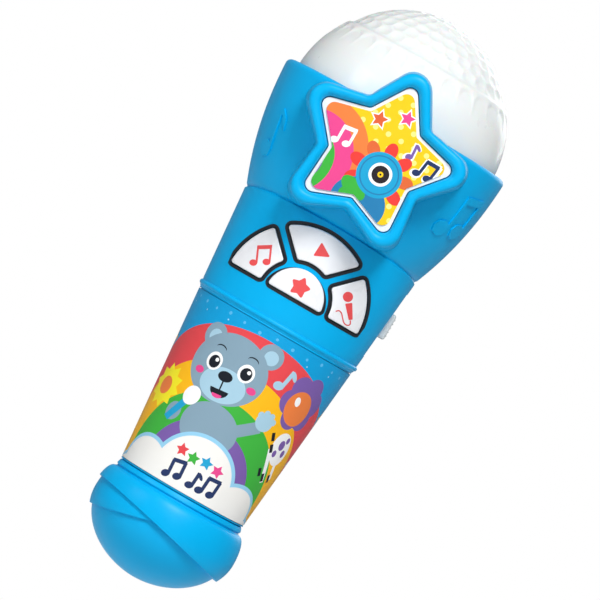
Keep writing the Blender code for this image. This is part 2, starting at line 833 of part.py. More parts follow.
def make_star_window():
    front = STAR_FRONT_Y + WINDOW_RECESS
    inset = star_outline(WINDOW_POINT_R - 1.9 * GAP, WINDOW_NOTCH_R - 1.2 * GAP, WINDOW_ROUNDING)
    finish(
        plate("star_window", [inset], front, front + WINDOW_THICKNESS),
        "star_window",
        "white_plastic",
    )
    shown = star_outline(WINDOW_POINT_R - 1.6 * PICTURE_MARGIN, WINDOW_NOTCH_R - PICTURE_MARGIN, 0.0020)
    picture = plate("star_picture", [shown], front - GAP - PICTURE_THICKNESS, front - GAP)
    finish(picture, "star_picture", "picture_print")


# ---------------------------------------------------------------- keys and switch


def make_keys():
    """Each key fills its hole, stands a little proud of the round panel and has a flange inside."""
    proud = body_form("keys_front", KEY_PROUD)
    inside = body_form("keys_inside", -WALL - SLIDE_GAP)
    for name, outline in KEYS.items():
        key = keep(plate(name, [outline(0.0)], -RIM_R, KEY_BACK_Y), proud)
        flange = keep(plate(name + "_flange", [outline(KEY_FLANGE)], -RIM_R, KEY_BACK_Y), inside)
        points = outline(0.0)
        x = sum(point[0] for point in points) / len(points)
        z = sum(point[1] for point in points) / len(points)
        finish(join(key, flange), name, "white_plastic", (x, KEY_BACK_Y, z))


def make_switch():
    neck_x = SWITCH_FLOOR_X - 0.0055
    cap = box(
        "switch_knob",
        (SWITCH_FLOOR_X + GAP, SWITCH_Y - KNOB_WIDTH / 2, SWITCH_Z - KNOB_LENGTH / 2),
        (
            SWITCH_FLOOR_X + GAP + 0.0010 + KNOB_PROUD,
            SWITCH_Y + KNOB_WIDTH / 2,
            SWITCH_Z + KNOB_LENGTH / 2,
        ),
    )
    neck = box(
        "switch_neck",
        (neck_x, SWITCH_Y - 0.0016, SWITCH_Z - 0.0030),
        (SWITCH_FLOOR_X + 0.0015, SWITCH_Y + 0.0016, SWITCH_Z + 0.0030),
    )
    centre = (SWITCH_FLOOR_X, SWITCH_Y, SWITCH_Z)
    finish(join(cap, neck), "switch_knob", "grey_plastic", centre)
    body = box(
        "switch_body",
        (neck_x - GAP - 0.0055, SWITCH_Y - 0.0045, SWITCH_Z - 0.0110),
        (neck_x - GAP, SWITCH_Y + 0.0045, SWITCH_Z + 0.0110),
    )
    finish(body, "switch_body", "black_plastic")


# ---------------------------------------------------------------- electronics


def make_boards():
    board = box(
        "main_board",
        (-BOARD_HALF_WIDTH, BOARD_FRONT_Y, BOARD_LOW_Z),
        (BOARD_HALF_WIDTH, BOARD_BACK_Y, BOARD_HIGH_Z),
    )
    for i, (x, z) in enumerate(board_screw_places()):
        cut(board, rod(f"board_hole_{i}", (x, -RIM_R, z), (x, 0, z), 0.0013, sides=12))
    finish(board, "main_board", "board_green")

    disc_r = collar_radius(LED_BOARD_Z - GAP) - WALL - 2 * GAP
    disc = rod(
        "led_board",
        (0, 0, LED_BOARD_Z),
        (0, 0, LED_BOARD_Z + BOARD_THICKNESS),
        disc_r,
        sides=TURN_STEPS,
    )
    front = box("led_board_front", (-RIM_R, -RIM_R, 0), (RIM_R, 0.36 * -RIM_R - 0.0050, RIM_Z))
    finish(cut(disc, front), "led_board", "board_green")

    low, high = FAN_Z + 0.0010, PANEL_TOP_Z - 0.0005
    membrane = box(
        "keypad_membrane",
        (-BOARD_HALF_WIDTH + 0.0010, MEMBRANE_FRONT_Y, low),
        (BOARD_HALF_WIDTH - 0.0010, MEMBRANE_FRONT_Y + MEMBRANE_THICKNESS, high),
    )
    reach = (FAN_INNER_R + FAN_OUTER_R) / 2
    domes = {"play": (0, FAN_Z + reach), "star": (0, FAN_Z + 0.0048)}
    for side in (-1, 1):
        angle = math.radians(22.5)
        domes[f"side_{side}"] = (
            side * (reach - 0.0050) * math.cos(angle),
            FAN_Z + reach * math.sin(angle),
        )
    for name, (x, z) in domes.items():
        dome = rod(
            f"membrane_dome_{name}",
            (x, MEMBRANE_FRONT_Y - MEMBRANE_DOME, z),
            (x, MEMBRANE_FRONT_Y + 0.0005, z),
            0.0024,
            0.0030,
        )
        join(membrane, dome)
    finish(membrane, "keypad_membrane", "grey_rubber")

    on_board = BOARD_BACK_Y + GAP
    chip = box(
        "sound_chip",
        (-0.0030, on_board, FAN_Z + 0.0080),
        (0.0090, on_board + 0.0024, FAN_Z + 0.0200),
    )
    finish(chip, "sound_chip", "chip_black")
    x, z = -0.0120, FAN_Z + 0.0120
    can = rod("capacitor", (x, on_board, z), (x, on_board + 0.0105, z), 0.0040, sides=20)
    finish(can, "capacitor", "magnet")


def make_led(name, foot, direction):
    """A round light with a domed end, standing on its board."""
    outline = [
        (0.0, LED_BODY),
        (0.7 * LED_R, LED_BODY - 0.3 * LED_R),
        (LED_R, LED_BODY - LED_R),
        (LED_R, 0.0010),
        (1.2 * LED_R, 0.0010),
        (1.2 * LED_R, 0.0),
        (0.0, 0.0),
    ]
    led = turned(name, outline, steps=16)
    turn = Vector((0, 0, 1)).rotation_difference(Vector(direction)).to_matrix().to_4x4()
    led.data.transform(Matrix.Translation(foot) @ turn)
    finish(led, name, "led_clear")


def make_lights():
    make_led("star_led", (0, BOARD_FRONT_Y - GAP, LIGHT_PORT_Z), (0, -1, 0))
    top = LED_BOARD_Z + BOARD_THICKNESS + GAP
    for i in range(3):
        angle = math.radians(90 + 120 * i)
        make_led(
            f"dome_led_{i + 1}",
            (0.016 * math.cos(angle), 0.016 * math.sin(angle), top),
            (0, 0, 1),
        )
    capsule = rod("mic_capsule", (0, -0.0160, top), (0, -0.0160, top + 0.0038), 0.0030, sides=20)
    finish(capsule, "mic_capsule", "magnet")


def make_speaker():
    centre = (0, 0, SPEAKER_Z)
    front = SPEAKER_FRONT_Y
    rim, neck = SPEAKER_R - 0.0030, SPEAKER_MAGNET_R + 0.0004
    frame = [
        (SPEAKER_R, front),
        (SPEAKER_R, front - 0.0012),
        (rim, front - 0.0012),
        (neck, front - 0.0070),
        (neck, front - 0.0078),
        (0.0030, front - 0.0078),
        (0.0030, front - 0.0070),
        (neck - 0.0008, front - 0.0070),
        (rim - 0.0008, front - 0.0008),
        (rim - 0.0008, front),
    ]
    finish(turned_round_y("speaker_frame", frame, centre), "speaker_frame", "steel")
    edge = rim - 0.0013
    cone = [
        (0.0, front - 0.0036),
        (0.0035, front - 0.0046),
        (edge, front - 0.0003),
        (edge, front - 0.0007),
        (0.0035, front - 0.0052),
        (0.0, front - 0.0042),
    ]
    finish(turned_round_y("speaker_cone", cone, centre), "speaker_cone", "paper_cone")
    back = front - 0.0078 - GAP
    magnet = [
        (0.0, back),
        (SPEAKER_MAGNET_R, back),
        (SPEAKER_MAGNET_R, back - 0.0050),
        (SPEAKER_MAGNET_R - 0.0008, back - 0.0058),
        (0.0, back - 0.0058),
    ]
    finish(turned_round_y("speaker_magnet", magnet, centre), "speaker_magnet", "magnet")


# ---------------------------------------------------------------- battery compartment


TRAY_FLOOR_Y = 0.0006
CELL_Y = TRAY_FLOOR_Y + TRAY_WALL + GAP + CELL_R
CELL_X = CELL_R + GAP
CELLS_LOW_Z = TRAY_LOW_Z + TRAY_WALL + 0.0010
CELLS_HIGH_Z = CELLS_LOW_Z + CELL_SPACE
DOOR_BOSS_Y = grip_radius(DOOR_SCREW_Z) - 0.0048
DOOR_HINGE_Y = grip_radius(DOOR_LOW_Z) + 0.0005


def make_tray():
    door_inside = math.sqrt((grip_radius(TRAY_LOW_Z) - WALL) ** 2 - TRAY_HALF_WIDTH**2)
    high_y = door_inside - TRAY_BELOW_DOOR
    inner = TRAY_HALF_WIDTH - TRAY_WALL
    tray = box(
        "battery_tray",
        (-TRAY_HALF_WIDTH, TRAY_FLOOR_Y, TRAY_LOW_Z),
        (TRAY_HALF_WIDTH, high_y, TRAY_HIGH_Z),
    )
    cut(
        tray,
        box(
            "tray_hollow",
            (-inner, TRAY_FLOOR_Y + TRAY_WALL, TRAY_LOW_Z + TRAY_WALL),
            (inner, high_y + 0.01, TRAY_HIGH_Z - TRAY_WALL),
        ),
    )
    tab_y = DOOR_BOSS_Y - GAP
    tab = box(
        "tray_tab",
        (-0.0040, TRAY_FLOOR_Y, TRAY_HIGH_Z - 0.0008),
        (0.0040, tab_y, DOOR_SCREW_Z + 0.0025),
    )
    pilot = rod(
        "tray_pilot",
        (0, tab_y - 0.0080, DOOR_SCREW_Z),
        (0, tab_y + 0.01, DOOR_SCREW_Z),
        0.0013,
        sides=12,
    )
    cut(join(tray, tab), pilot)
    finish(tray, "battery_tray", "grey_plastic")


def make_cell(name, x, foot_z, up):
    body = CELL_LENGTH - CELL_NUB
    outline = [
        (0.0, CELL_LENGTH),
        (CELL_NUB_R, CELL_LENGTH),
        (CELL_NUB_R, body),
        (CELL_R - 0.0006, body),
        (CELL_R, body - 0.0006),
        (CELL_R, 0.0006),
        (CELL_R - 0.0006, 0.0),
        (0.0, 0.0),
    ]
    cell = turned(name, outline, steps=24)
    if not up:
        cell.data.transform(Matrix.Translation((0, 0, CELL_LENGTH)) @ Matrix.Rotation(math.pi, 4, "X"))
    cell.data.transform(Matrix.Translation((x, CELL_Y, foot_z)))
    finish(cell, name, "cell_wrap")


def make_wire(name, points, radius, material, resolution=2):
    curve = bpy.data.curves.new(name, "CURVE")
    curve.dimensions = "3D"
    curve.bevel_depth = radius
    curve.bevel_resolution = resolution
    curve.use_fill_caps = True
    spline = curve.splines.new("POLY")
    spline.points.add(len(points) - 1)
    for point, place in zip(spline.points, points):
        point.co = (*place, 1.0)
    return finish(add_object(name, curve), name, material)


def make_spring(name, x, low_z, wide_end_low):
    """A short tapered coil between a contact plate and a cell's flat end."""
    wire, turns, count = 0.0003, 2.5, 26
    height = SPRING_SPACE - GAP
    points = []
    for i in range(count):
        share = i / (count - 1)
        widen = 1 - share if wide_end_low else share
        radius = 0.0030 + 0.0015 * widen
        angle = 2 * math.pi * turns * share
        z = low_z + wire + (height - 2 * wire) * share
        points.append((x + radius * math.cos(angle), CELL_Y + radius * math.sin(angle), z))
    make_wire(name, points, wire, "steel", resolution=1)


def make_batteries():
    make_tray()
    make_cell("battery_cell_1", -CELL_X, CELLS_HIGH_Z - CELL_LENGTH, up=True)
    make_cell("battery_cell_2", CELL_X, CELLS_LOW_Z, up=False)
    make_spring("battery_spring_1", -CELL_X, CELLS_LOW_Z, wide_end_low=True)
    make_spring("battery_spring_2", CELL_X, CELLS_HIGH_Z - SPRING_SPACE + GAP, wide_end_low=False)
    half_width, plate_thickness = 2 * CELL_R - 0.0010, 0.0004
    for name, z in (
        ("battery_contact_bottom", CELLS_LOW_Z - GAP - plate_thickness),
        ("battery_contact_top", CELLS_HIGH_Z + GAP),
    ):
        contact = box(
            name,
            (-half_width, CELL_Y - 0.0055, z),
            (half_width, CELL_Y + 0.0055, z + plate_thickness),
        )
        finish(contact, name, "steel")


def make_door():
    """A panel of the grip's own wall on two bottom tabs, with a captive screw at its top."""
    hinge = (0.0, DOOR_HINGE_Y, DOOR_LOW_Z)
    outline = [
        (grip_radius(GRIP_TOP_Z), GRIP_TOP_Z),
        (grip_radius(GRIP_BOTTOM_Z), GRIP_BOTTOM_Z),
        (grip_radius(GRIP_BOTTOM_Z) - WALL, GRIP_BOTTOM_Z),
        (grip_radius(GRIP_TOP_Z) - WALL, GRIP_TOP_Z),
    ]
    door = turned("battery_door", outline)
    keep(
        door,
        box(
            "door_limits",
            (-DOOR_HALF_WIDTH, 0.0050, DOOR_LOW_Z),
            (DOOR_HALF_WIDTH, RIM_R, DOOR_HIGH_Z),
        ),
    )
    top_r = grip_radius(DOOR_SCREW_Z)
    boss = rod("door_boss", (0, DOOR_BOSS_Y, DOOR_SCREW_Z), (0, top_r - 0.0008, DOOR_SCREW_Z), 0.0029)
    join(door, boss)
    seat_y = top_r - 0.0026
    cut(door, rod("door_hole", (0, 0, DOOR_SCREW_Z), (0, RIM_R, DOOR_SCREW_Z), 0.0013, sides=12))
    cut(
        door,
        rod(
            "door_counterbore",
            (0, seat_y, DOOR_SCREW_Z),
            (0, RIM_R, DOOR_SCREW_Z),
            SCREW_HEAD_R + GAP,
            sides=12,
        ),
    )
    foot_r = grip_radius(DOOR_LOW_Z) - WALL
    tab_drop = LABEL_THICKNESS + GAP + 0.0016
    for side in (-1, 1):
        x = side * 0.45 * DOOR_HALF_WIDTH
        wall_y = math.sqrt(foot_r**2 - x**2)
        low_y, high_y = wall_y - tab_drop - 0.0010, wall_y - tab_drop
        root = box(
            f"door_tab_root_{side}",
            (x - 0.0020, low_y, DOOR_LOW_Z),
            (x + 0.0020, wall_y + 0.0004, DOOR_LOW_Z + 0.0040),
        )
        toe = box(
            f"door_tab_toe_{side}",
            (x - 0.0019, low_y + 0.0001, DOOR_LOW_Z - 0.0020),
            (x + 0.0019, high_y, DOOR_LOW_Z + 0.0010),
        )
        join(door, root, toe)
    finish(door, "battery_door", "blue_plastic", hinge)
    make_screw(
        "door_screw",
        (0, seat_y + GAP, DOOR_SCREW_Z),
        (0, 1, 0),
        seat_y + GAP - DOOR_BOSS_Y + 0.0016,
        hinge,
    )


# ---------------------------------------------------------------- screws and wires


def make_screw(name, seat, out, length, origin=None):
    """A pan-head screw whose head starts at seat and points along out; its shank runs the other way."""
    outline = [
        (0.0, SCREW_HEAD),
        (0.7 * SCREW_HEAD_R, SCREW_HEAD),
        (SCREW_HEAD_R, 0.6 * SCREW_HEAD),
        (SCREW_HEAD_R, 0.0),
        (SCREW_SHANK_R, 0.0),
        (SCREW_SHANK_R, -length + 0.0006),
        (0.0, -length),
    ]
    screw = turned(name, outline, steps=12)
    turn = Vector((0, 0, 1)).rotation_difference(Vector(out)).to_matrix().to_4x4()
    screw.data.transform(Matrix.Translation(seat) @ turn)
    finish(screw, name, "steel", origin)


def make_screws():
    for i, (x, z) in enumerate(case_screw_places()):
        seat = SCREW_SEAT_Y + GAP
        make_screw(f"case_screw_{i + 1}", (x, seat, z), (0, 1, 0), seat - SCREW_TIP_Y)
    for i, (x, z) in enumerate(board_screw_places()):
        make_screw(f"board_screw_{i + 1}", (x, BOARD_BACK_Y + GAP, z), (0, 1, 0), 0.0068)
    for side, name in ((-1, "bezel_screw_left"), (1, "bezel_screw_right")):
        place = (side * BEZEL_POST_X, BEZEL_POST_END_Y + GAP, BEZEL_POST_Z)
        make_screw(name, place, (0, 1, 0), 0.0060)


def smooth_route(points, per_span=4):
    """Points on a smooth curve through the route's own points."""
    route = [Vector(point) for point in points]
    route = [route[0], *route, route[-1]]
    smooth = []
    for a, b, c, d in zip(route, route[1:], route[2:], route[3:]):
        for i in range(per_span):
            t = i / per_span
            smooth.append(
                0.5 * (
                    2 * b + (c - a) * t + (
                        2 * a - 5 * b + 4 * c - d
                    ) * t**2 + (3 * b - a - 3 * c + d) * t**3
                )
            )
    return [*smooth, route[-1]]


def make_wires():
    board = BOARD_BACK_Y + 2 * GAP
    tray_top = TRAY_HIGH_Z + 2 * GAP
    for side, name, material in (
        (-1, "battery_lead_black", "wire_black"),
        (1, "battery_lead_red", "wire_red"),
    ):
        x = side * 0.0100
        end_x = side * (LOWER_BOARD_SCREW[0] - 0.0050)
        route = [
            (x, 0.0060, tray_top),
            (x, 0.0050, tray_top + 0.0050),
            (end_x, -0.0060, tray_top + 0.0130),
            (end_x, board, BOARD_LOW_Z + 0.0060),
        ]
        make_wire(name, smooth_route(route), WIRE_R, material)
    behind = SPEAKER_FRONT_Y - 0.0012 - 2 * GAP
    for side, name, material in (
        (-1, "speaker_lead_black", "wire_black"),
        (1, "speaker_lead_red", "wire_red"),
    ):
        x, z = side * 0.0105, SPEAKER_Z - 0.0103
        route = [
            (x, behind, z),
            (x, behind - 0.0080, z - 0.0010),
            (x, 0.0, z - 0.0020),
            (side * 0.0150, board, z + 0.0060),
        ]
        make_wire(name, smooth_route(route), WIRE_R, material)
    low = LED_BOARD_Z - 2 * GAP
    route = [(0.0100, -0.0040, low), (0.0100, -0.0050, low - 0.0040), (0.0080, board, low - 0.0140)]
    make_wire("led_lead", smooth_route(route), WIRE_R, "wire_red")
    x = SWITCH_FLOOR_X - 0.0110 - 3 * GAP
    route = [
        (x, SWITCH_Y, SWITCH_Z),
        (x - 0.0030, 0.0, SWITCH_Z),
        (BOARD_HALF_WIDTH - 0.0040, board, SWITCH_Z),
    ]
    make_wire("switch_lead", smooth_route(route), WIRE_R, "wire_black")


def main():
    make_front_shell()
    make_rear_shell()
    make_label()
    make_end_cap()
    make_dome()
    make_star_bezel()
    make_star_window()
    make_keys()
    make_switch()
    make_boards()
    make_lights()
    make_speaker()
    make_batteries()
    make_door()
    make_screws()
    make_wires()


main()
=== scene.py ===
import math

import bmesh
import bpy
from mathutils import Matrix, Vector


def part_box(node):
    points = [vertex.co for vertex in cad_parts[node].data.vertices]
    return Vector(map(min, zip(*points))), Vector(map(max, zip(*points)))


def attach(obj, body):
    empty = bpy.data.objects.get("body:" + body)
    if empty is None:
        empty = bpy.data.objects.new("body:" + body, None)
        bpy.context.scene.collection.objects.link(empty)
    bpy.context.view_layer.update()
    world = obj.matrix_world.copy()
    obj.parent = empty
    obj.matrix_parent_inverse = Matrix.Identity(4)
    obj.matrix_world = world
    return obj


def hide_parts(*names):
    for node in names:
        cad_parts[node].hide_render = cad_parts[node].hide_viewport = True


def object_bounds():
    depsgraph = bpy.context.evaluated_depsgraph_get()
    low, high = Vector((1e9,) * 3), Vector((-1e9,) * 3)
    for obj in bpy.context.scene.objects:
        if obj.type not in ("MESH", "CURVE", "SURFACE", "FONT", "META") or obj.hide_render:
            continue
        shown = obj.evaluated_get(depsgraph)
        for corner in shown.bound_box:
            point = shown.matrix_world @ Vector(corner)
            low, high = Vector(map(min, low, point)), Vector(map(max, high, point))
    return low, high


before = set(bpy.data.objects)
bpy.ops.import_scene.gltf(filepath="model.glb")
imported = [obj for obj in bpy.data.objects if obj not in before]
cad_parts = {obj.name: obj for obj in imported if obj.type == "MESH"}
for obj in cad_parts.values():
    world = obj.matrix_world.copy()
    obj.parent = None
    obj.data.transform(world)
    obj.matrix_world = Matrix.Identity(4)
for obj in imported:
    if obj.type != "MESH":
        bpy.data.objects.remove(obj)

bl_info = {
    "name": "Toy Microphone Looks",
    "version": (1, 0, 0),
    "blender": (4, 5, 0),
    "location": "View3D > Sidebar > Toy Microphone",
    "description": "Fine shells, keys, dome, star and printed labels for a toy microphone",
    "category": "Object",
}

CAD_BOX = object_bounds()

# Places taken from the frame, in metres. +Z runs up the microphone, the keys face -Y.
RIM_R, RIM_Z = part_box("front_shell")[1].x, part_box("front_shell")[1].z
CAP_LOW, CAP_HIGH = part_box("end_cap")
LABEL_LOW, LABEL_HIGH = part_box("grip_label")
STAR_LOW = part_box("star_bezel")[0]
WINDOW_LOW, WINDOW_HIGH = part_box("star_window")
PICTURE_LOW, PICTURE_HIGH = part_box("star_picture")
DOME_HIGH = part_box("dome")[1]
KNOB_LOW, KNOB_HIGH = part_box("switch_knob")
DOOR_LOW, DOOR_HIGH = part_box("battery_door")
FAN_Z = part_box("star_key")[0].z
FAN_OUTER_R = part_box("play_key")[1].z - FAN_Z
STAR_KEY_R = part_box("star_key")[1].x

LABEL_MARGIN = 0.0007
GRIP_TOP_Z = LABEL_HIGH.z + LABEL_MARGIN
GRIP_BOTTOM_Z = LABEL_LOW.z - LABEL_MARGIN
BEAD_TOP_Z = GRIP_TOP_Z + 0.0034
PANEL_TOP_Z = RIM_Z - 0.0507
STAR_Z = RIM_Z - 0.0169
SWITCH_Z = (KNOB_LOW.z + KNOB_HIGH.z) / 2
SWITCH_Y = (KNOB_LOW.y + KNOB_HIGH.y) / 2
SPEAKER_Z = PANEL_TOP_Z + 0.0154
SEAM = 0.0003
KEY_GAP = 0.0004
BEYOND = 0.06
DOME_LOWER_R = RIM_R - 0.0046
DOME_UPPER_R = RIM_R - 0.0086
DOME_UPPER_Z = DOME_HIGH.z - DOME_UPPER_R
DOME_Z = RIM_Z - 0.0018
STEP_Z = DOME_Z + 0.0252
SPIGOT_R = 0.0236


# ---------------------------------------------------------------- sizes and colours


def length(name, text, default):
    return bpy.props.FloatProperty(
        name=name, description=text, default=default, unit="LENGTH", subtype="DISTANCE", precision=5
    )


def tint(name, text, red, green, blue):
    """A colour chosen as 0 to 255 steps on screen, kept as linear light."""
    steps = (red, green, blue)
    linear = [((step / 255 + 0.055) / 1.055) ** 2.4 if step > 10 else step / 3295 for step in steps]
    return bpy.props.FloatVectorProperty(
        name=name, description=text, default=linear, subtype="COLOR", size=3, min=0.0, max=1.0
    )


class MicrophoneSizes(bpy.types.PropertyGroup):
    """Sizes of the shells, cap, keys and star."""

    wall: length("Wall", "Thickness of the shells", 0.0023)
    grip_bottom: length("Grip bottom radius", "Grip at the end cap", 0.0263)
    grip_top: length("Grip top radius", "Grip under the bead", 0.0329)
    bead: length("Bead radius", "Bead between grip and key panel", 0.0340)
    panel_bottom: length("Panel bottom radius", "Key panel above the bead", 0.0334)
    panel_top: length("Panel top radius", "Key panel under the collar", 0.0368)
    arch: length("Arch", "Rise of the collar's crease in front", 0.0038)
    rim_round: length("Rim rounding", "Rounding of the collar's rim", 0.0021)
    key_proud: length("Key height", "How far the keys stand out of the panel", 0.0010)
    key_round: length("Key edge", "Rounding of the keys' edges", 0.0006)
    # The dark line round each key is painted shade of the gap between key and panel.
    gap_shade_width: length("Painted gap shade", "Width of the line round each key", 0.0011)
    fan_inner: length("Fan inner radius", "Inner edge of the key fan", 0.0143)
    fan_lane: length("Fan lane", "Half lane beside the top key", 0.0050)
    dimple: length("Dimple depth", "Depth of the dome's dimples", 0.00052)
    dome_wall: length("Dome wall", "Thickness of the dome", 0.0018)
    star_point: length("Star point radius", "Sharp points of the bezel's star", 0.0410)
    star_notch: length("Star notch radius", "Notches of the bezel's star", 0.0222)
    window_point: length("Window point radius", "Sharp points of the star window", 0.0313)
    window_notch: length("Window notch radius", "Notches of the star window", 0.0180)


class MicrophoneColours(bpy.types.PropertyGroup):
    """Colours of the plastics and prints."""

    blue: tint("Blue", "Shells, bezel and end cap", 0, 173, 232)
    white: tint("White", "Keys and window", 242, 243, 246)
    dome: tint("Dome", "Milky dome", 232, 233, 231)
    icon: tint("Icons", "Red print on the keys", 234, 78, 80)
    # This colour is the dark print on the label, and also the painted shade in the gaps round the keys.
    ink_and_gap_shade: tint("Ink", "Dark printed lines", 18, 24, 34)
    knob: tint("Knob", "Switch knob", 205, 211, 212)
    sky: tint("Sky", "Label ground", 2, 158, 216)
    red: tint("Red", "Widest band", 228, 72, 78)
    yellow: tint("Yellow", "Second band", 252, 186, 22)
    green: tint("Green", "Third band", 62, 176, 62)
    purple: tint("Purple", "Inner band", 122, 92, 166)
    cloud: tint("Cloud", "Cloud on the label", 243, 241, 236)
    mist: tint("Mist", "Cloud edge", 150, 207, 236)
    grey: tint("Grey", "Bear's coat", 133, 161, 178)
    muzzle: tint("Muzzle", "Bear's muzzle", 166, 203, 221)
    orange: tint("Orange", "Orange print", 238, 128, 64)
    navy: tint("Navy", "Dark blue print", 34, 52, 96)
    pink: tint("Pink", "Pink print", 230, 72, 140)
    straw: tint("Straw", "Star picture's ground", 242, 200, 26)
    azure: tint("Azure", "Blue print", 30, 160, 206)


class StageSizes(bpy.types.PropertyGroup):
    """Camera and stage."""

    lens: bpy.props.FloatProperty(name="Lens", description="Focal length in mm", default=400.0)
    distance: length("Distance", "Camera to the microphone's axis", 2.507)
    lean: bpy.props.FloatProperty(
        name="Lean", description="Lean of the view", default=math.radians(30), subtype="ANGLE"
    )
    floor_drop: length("Floor drop", "Floor under the end cap", 0.30)


def sizes():
    return bpy.context.scene.microphone_sizes


def colours():
    return bpy.context.scene.microphone_colours


# ---------------------------------------------------------------- modelling helpers


def start_clean():
    """Nothing selected and object mode, as before each new piece."""
    if bpy.context.object and bpy.context.object.mode != "OBJECT":
        bpy.ops.object.mode_set(mode="OBJECT")
    bpy.ops.object.select_all(action="DESELECT")


def take(obj):
    start_clean()
    obj.select_set(True)
    bpy.context.view_layer.objects.active = obj
    return obj


def edit_all(obj):
    """Edit mode on one piece, with all of it selected."""
    take(obj)
    bpy.ops.object.mode_set(mode="EDIT")
    bpy.ops.mesh.select_all(action="SELECT")


def leave_edit():
    bpy.ops.object.mode_set(mode="OBJECT")


def parted(obj, place, normal, **cleared):
    """Cuts a piece on a plane, clears one side and fills the cut."""
    edit_all(obj)
    bpy.ops.mesh.bisect(plane_co=place, plane_no=normal, use_fill=True, **cleared)
    leave_edit()
    return obj


def new_loop(name, points, fill):
    """A circle primitive whose points are set to an outline in space."""
    start_clean()
    bpy.ops.mesh.primitive_circle_add(vertices=len(points), radius=0.01, fill_type=fill)
    obj = bpy.context.object
    obj.name = obj.data.name = name
    for vertex, point in zip(obj.data.vertices, points):
        vertex.co = point
    return obj


def turned(name, outline, steps=192):
    """A closed outline of (radius, height) spun round +Z."""
    obj = new_loop(name, [(radius, 0.0, z) for radius, z in outline], "NOTHING")
    edit_all(obj)
    bpy.ops.mesh.spin(steps=steps, angle=2 * math.pi, center=(0, 0, 0), axis=(0, 0, 1))
    bpy.ops.mesh.select_all(action="SELECT")
    bpy.ops.mesh.remove_doubles(threshold=2e-6)
    bpy.ops.mesh.delete_loose(use_verts=True, use_edges=True, use_faces=False)
    bpy.ops.mesh.select_all(action="SELECT")
    bpy.ops.mesh.normals_make_consistent(inside=False)
    leave_edit()
    return obj


def select_edges(obj, wanted):
    """In edit mode, selects only the edges whose two ends pass a test on their place."""
    mesh = bmesh.from_edit_mesh(obj.data)
    for face in mesh.faces:
        face.select = False
    for edge in mesh.edges:
        edge.select = all(wanted(vertex.co) for vertex in edge.verts)
    bmesh.update_edit_mesh(obj.data)


def prism(name, outline, front_y, back_y, soft=0.0, segments=4):
    """A flat outline of (x, z) with a thickness along Y, its front edge rounded."""
    obj = new_loop(name, [(x, front_y, z) for x, z in outline], "NGON")
    edit_all(obj)
    bpy.ops.mesh.extrude_region_move(TRANSFORM_OT_translate={"value": (0, back_y - front_y, 0)})
    bpy.ops.mesh.select_all(action="SELECT")
    bpy.ops.mesh.normals_make_consistent(inside=False)
    if soft:
        bpy.ops.mesh.select_mode(type="EDGE")
        select_edges(obj, lambda place: abs(place.y - front_y) < 1e-6)
        bpy.ops.mesh.bevel(offset=soft, segments=segments, affect="EDGES", clamp_overlap=True)
        bpy.ops.mesh.select_mode(type="VERT")
    leave_edit()
    return obj


def sliced(obj, pitch):
    """Cuts a piece into upright strips, so that it can follow a round surface."""
    low = min(corner[0] for corner in obj.bound_box)
    high = max(corner[0] for corner in obj.bound_box)
    edit_all(obj)
    for i in range(1, int((high - low) / pitch) + 1):
        bpy.ops.mesh.select_all(action="SELECT")
        bpy.ops.mesh.bisect(plane_co=(low + i * pitch, 0, 0), plane_no=(1, 0, 0))
    leave_edit()
    return obj


def box(name, low, high, soft=0.0):
    start_clean()
    low, high = Vector(low), Vector(high)
    bpy.ops.mesh.primitive_cube_add(size=1.0, location=(low + high) / 2)
    obj = bpy.context.object
    obj.name = obj.data.name = name
    obj.scale = high - low
    bpy.ops.object.transform_apply(location=True, rotation=True, scale=True)
    if soft:
        edit_all(obj)
        bpy.ops.mesh.bevel(offset=soft, segments=4, affect="EDGES", clamp_overlap=True)
        leave_edit()
    return obj


def rod(name, start, end, radius, sides=40):
    start_clean()
    start, end = Vector(start), Vector(end)
    bpy.ops.mesh.primitive_cylinder_add(
        vertices=sides,
        radius=radius,
        depth=(end - start).length,
        location=(start + end) / 2,
        rotation=Vector((0, 0, 1)).rotation_difference(end - start).to_euler(),
    )
    obj = bpy.context.object
    obj.name = obj.data.name = name
    bpy.ops.object.transform_apply(location=True, rotation=True, scale=True)
    return obj


def combine(obj, other, operation):
    """A Boolean, applied, with the other shape used up."""
    take(obj)
    modifier = obj.modifiers.new("Combine", "BOOLEAN")
    modifier.operation = operation
    modifier.solver = "MANIFOLD"
    modifier.object = other
    bpy.ops.object.modifier_apply(modifier=modifier.name)
    bpy.data.objects.remove(other, do_unlink=True)
    return obj


def joined(objects):
    """Several objects made one, kept under the first one's name."""
    start_clean()
    for obj in objects:
        obj.select_set(True)
    bpy.context.view_layer.objects.active = objects[0]
    bpy.ops.object.join()
    return bpy.context.object


def finished(obj, node, body, material, angle=35):
    """Shading, material, the body the piece moves with, and the frame node it stands in for, hidden."""
    take(obj)
    bpy.ops.object.shade_smooth_by_angle(angle=math.radians(angle))
    if not any(obj.data.materials):
        obj.data.materials.clear()
        obj.data.materials.append(material)
    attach(obj, body)
    if node:
        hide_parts(node)
    return obj


def arc(centre, radius, start, end, steps):
    """Points on an arc, angles in degrees, both ends included."""
    angles = [math.radians(start + (end - start) * i / steps) for i in range(steps + 1)]
    return [(centre[0] + radius * math.cos(a), centre[1] + radius * math.sin(a)) for a in angles]


def rounded(corners, radii, steps=8):
    """A closed outline whose corners are given arcs of these radii."""
    outline = []
    for i, corner in enumerate(corners):
        here = Vector(corner)
        before = (Vector(corners[i - 1]) - here).normalized()
        after = (Vector(corners[(i + 1) % len(corners)]) - here).normalized()
        half = before.angle(after) / 2
        centre = here + (before + after).normalized() * radii[i] / math.sin(half)
        start = here + before * radii[i] / math.tan(half) - centre
        end = here + after * radii[i] / math.tan(half) - centre
        first = math.degrees(math.atan2(start.y, start.x))
        sweep = math.degrees(math.remainder(math.atan2(end.y, end.x) - math.radians(first), 2 * math.pi))
        outline += arc(centre, radii[i], first, first + sweep, steps)
    return outline


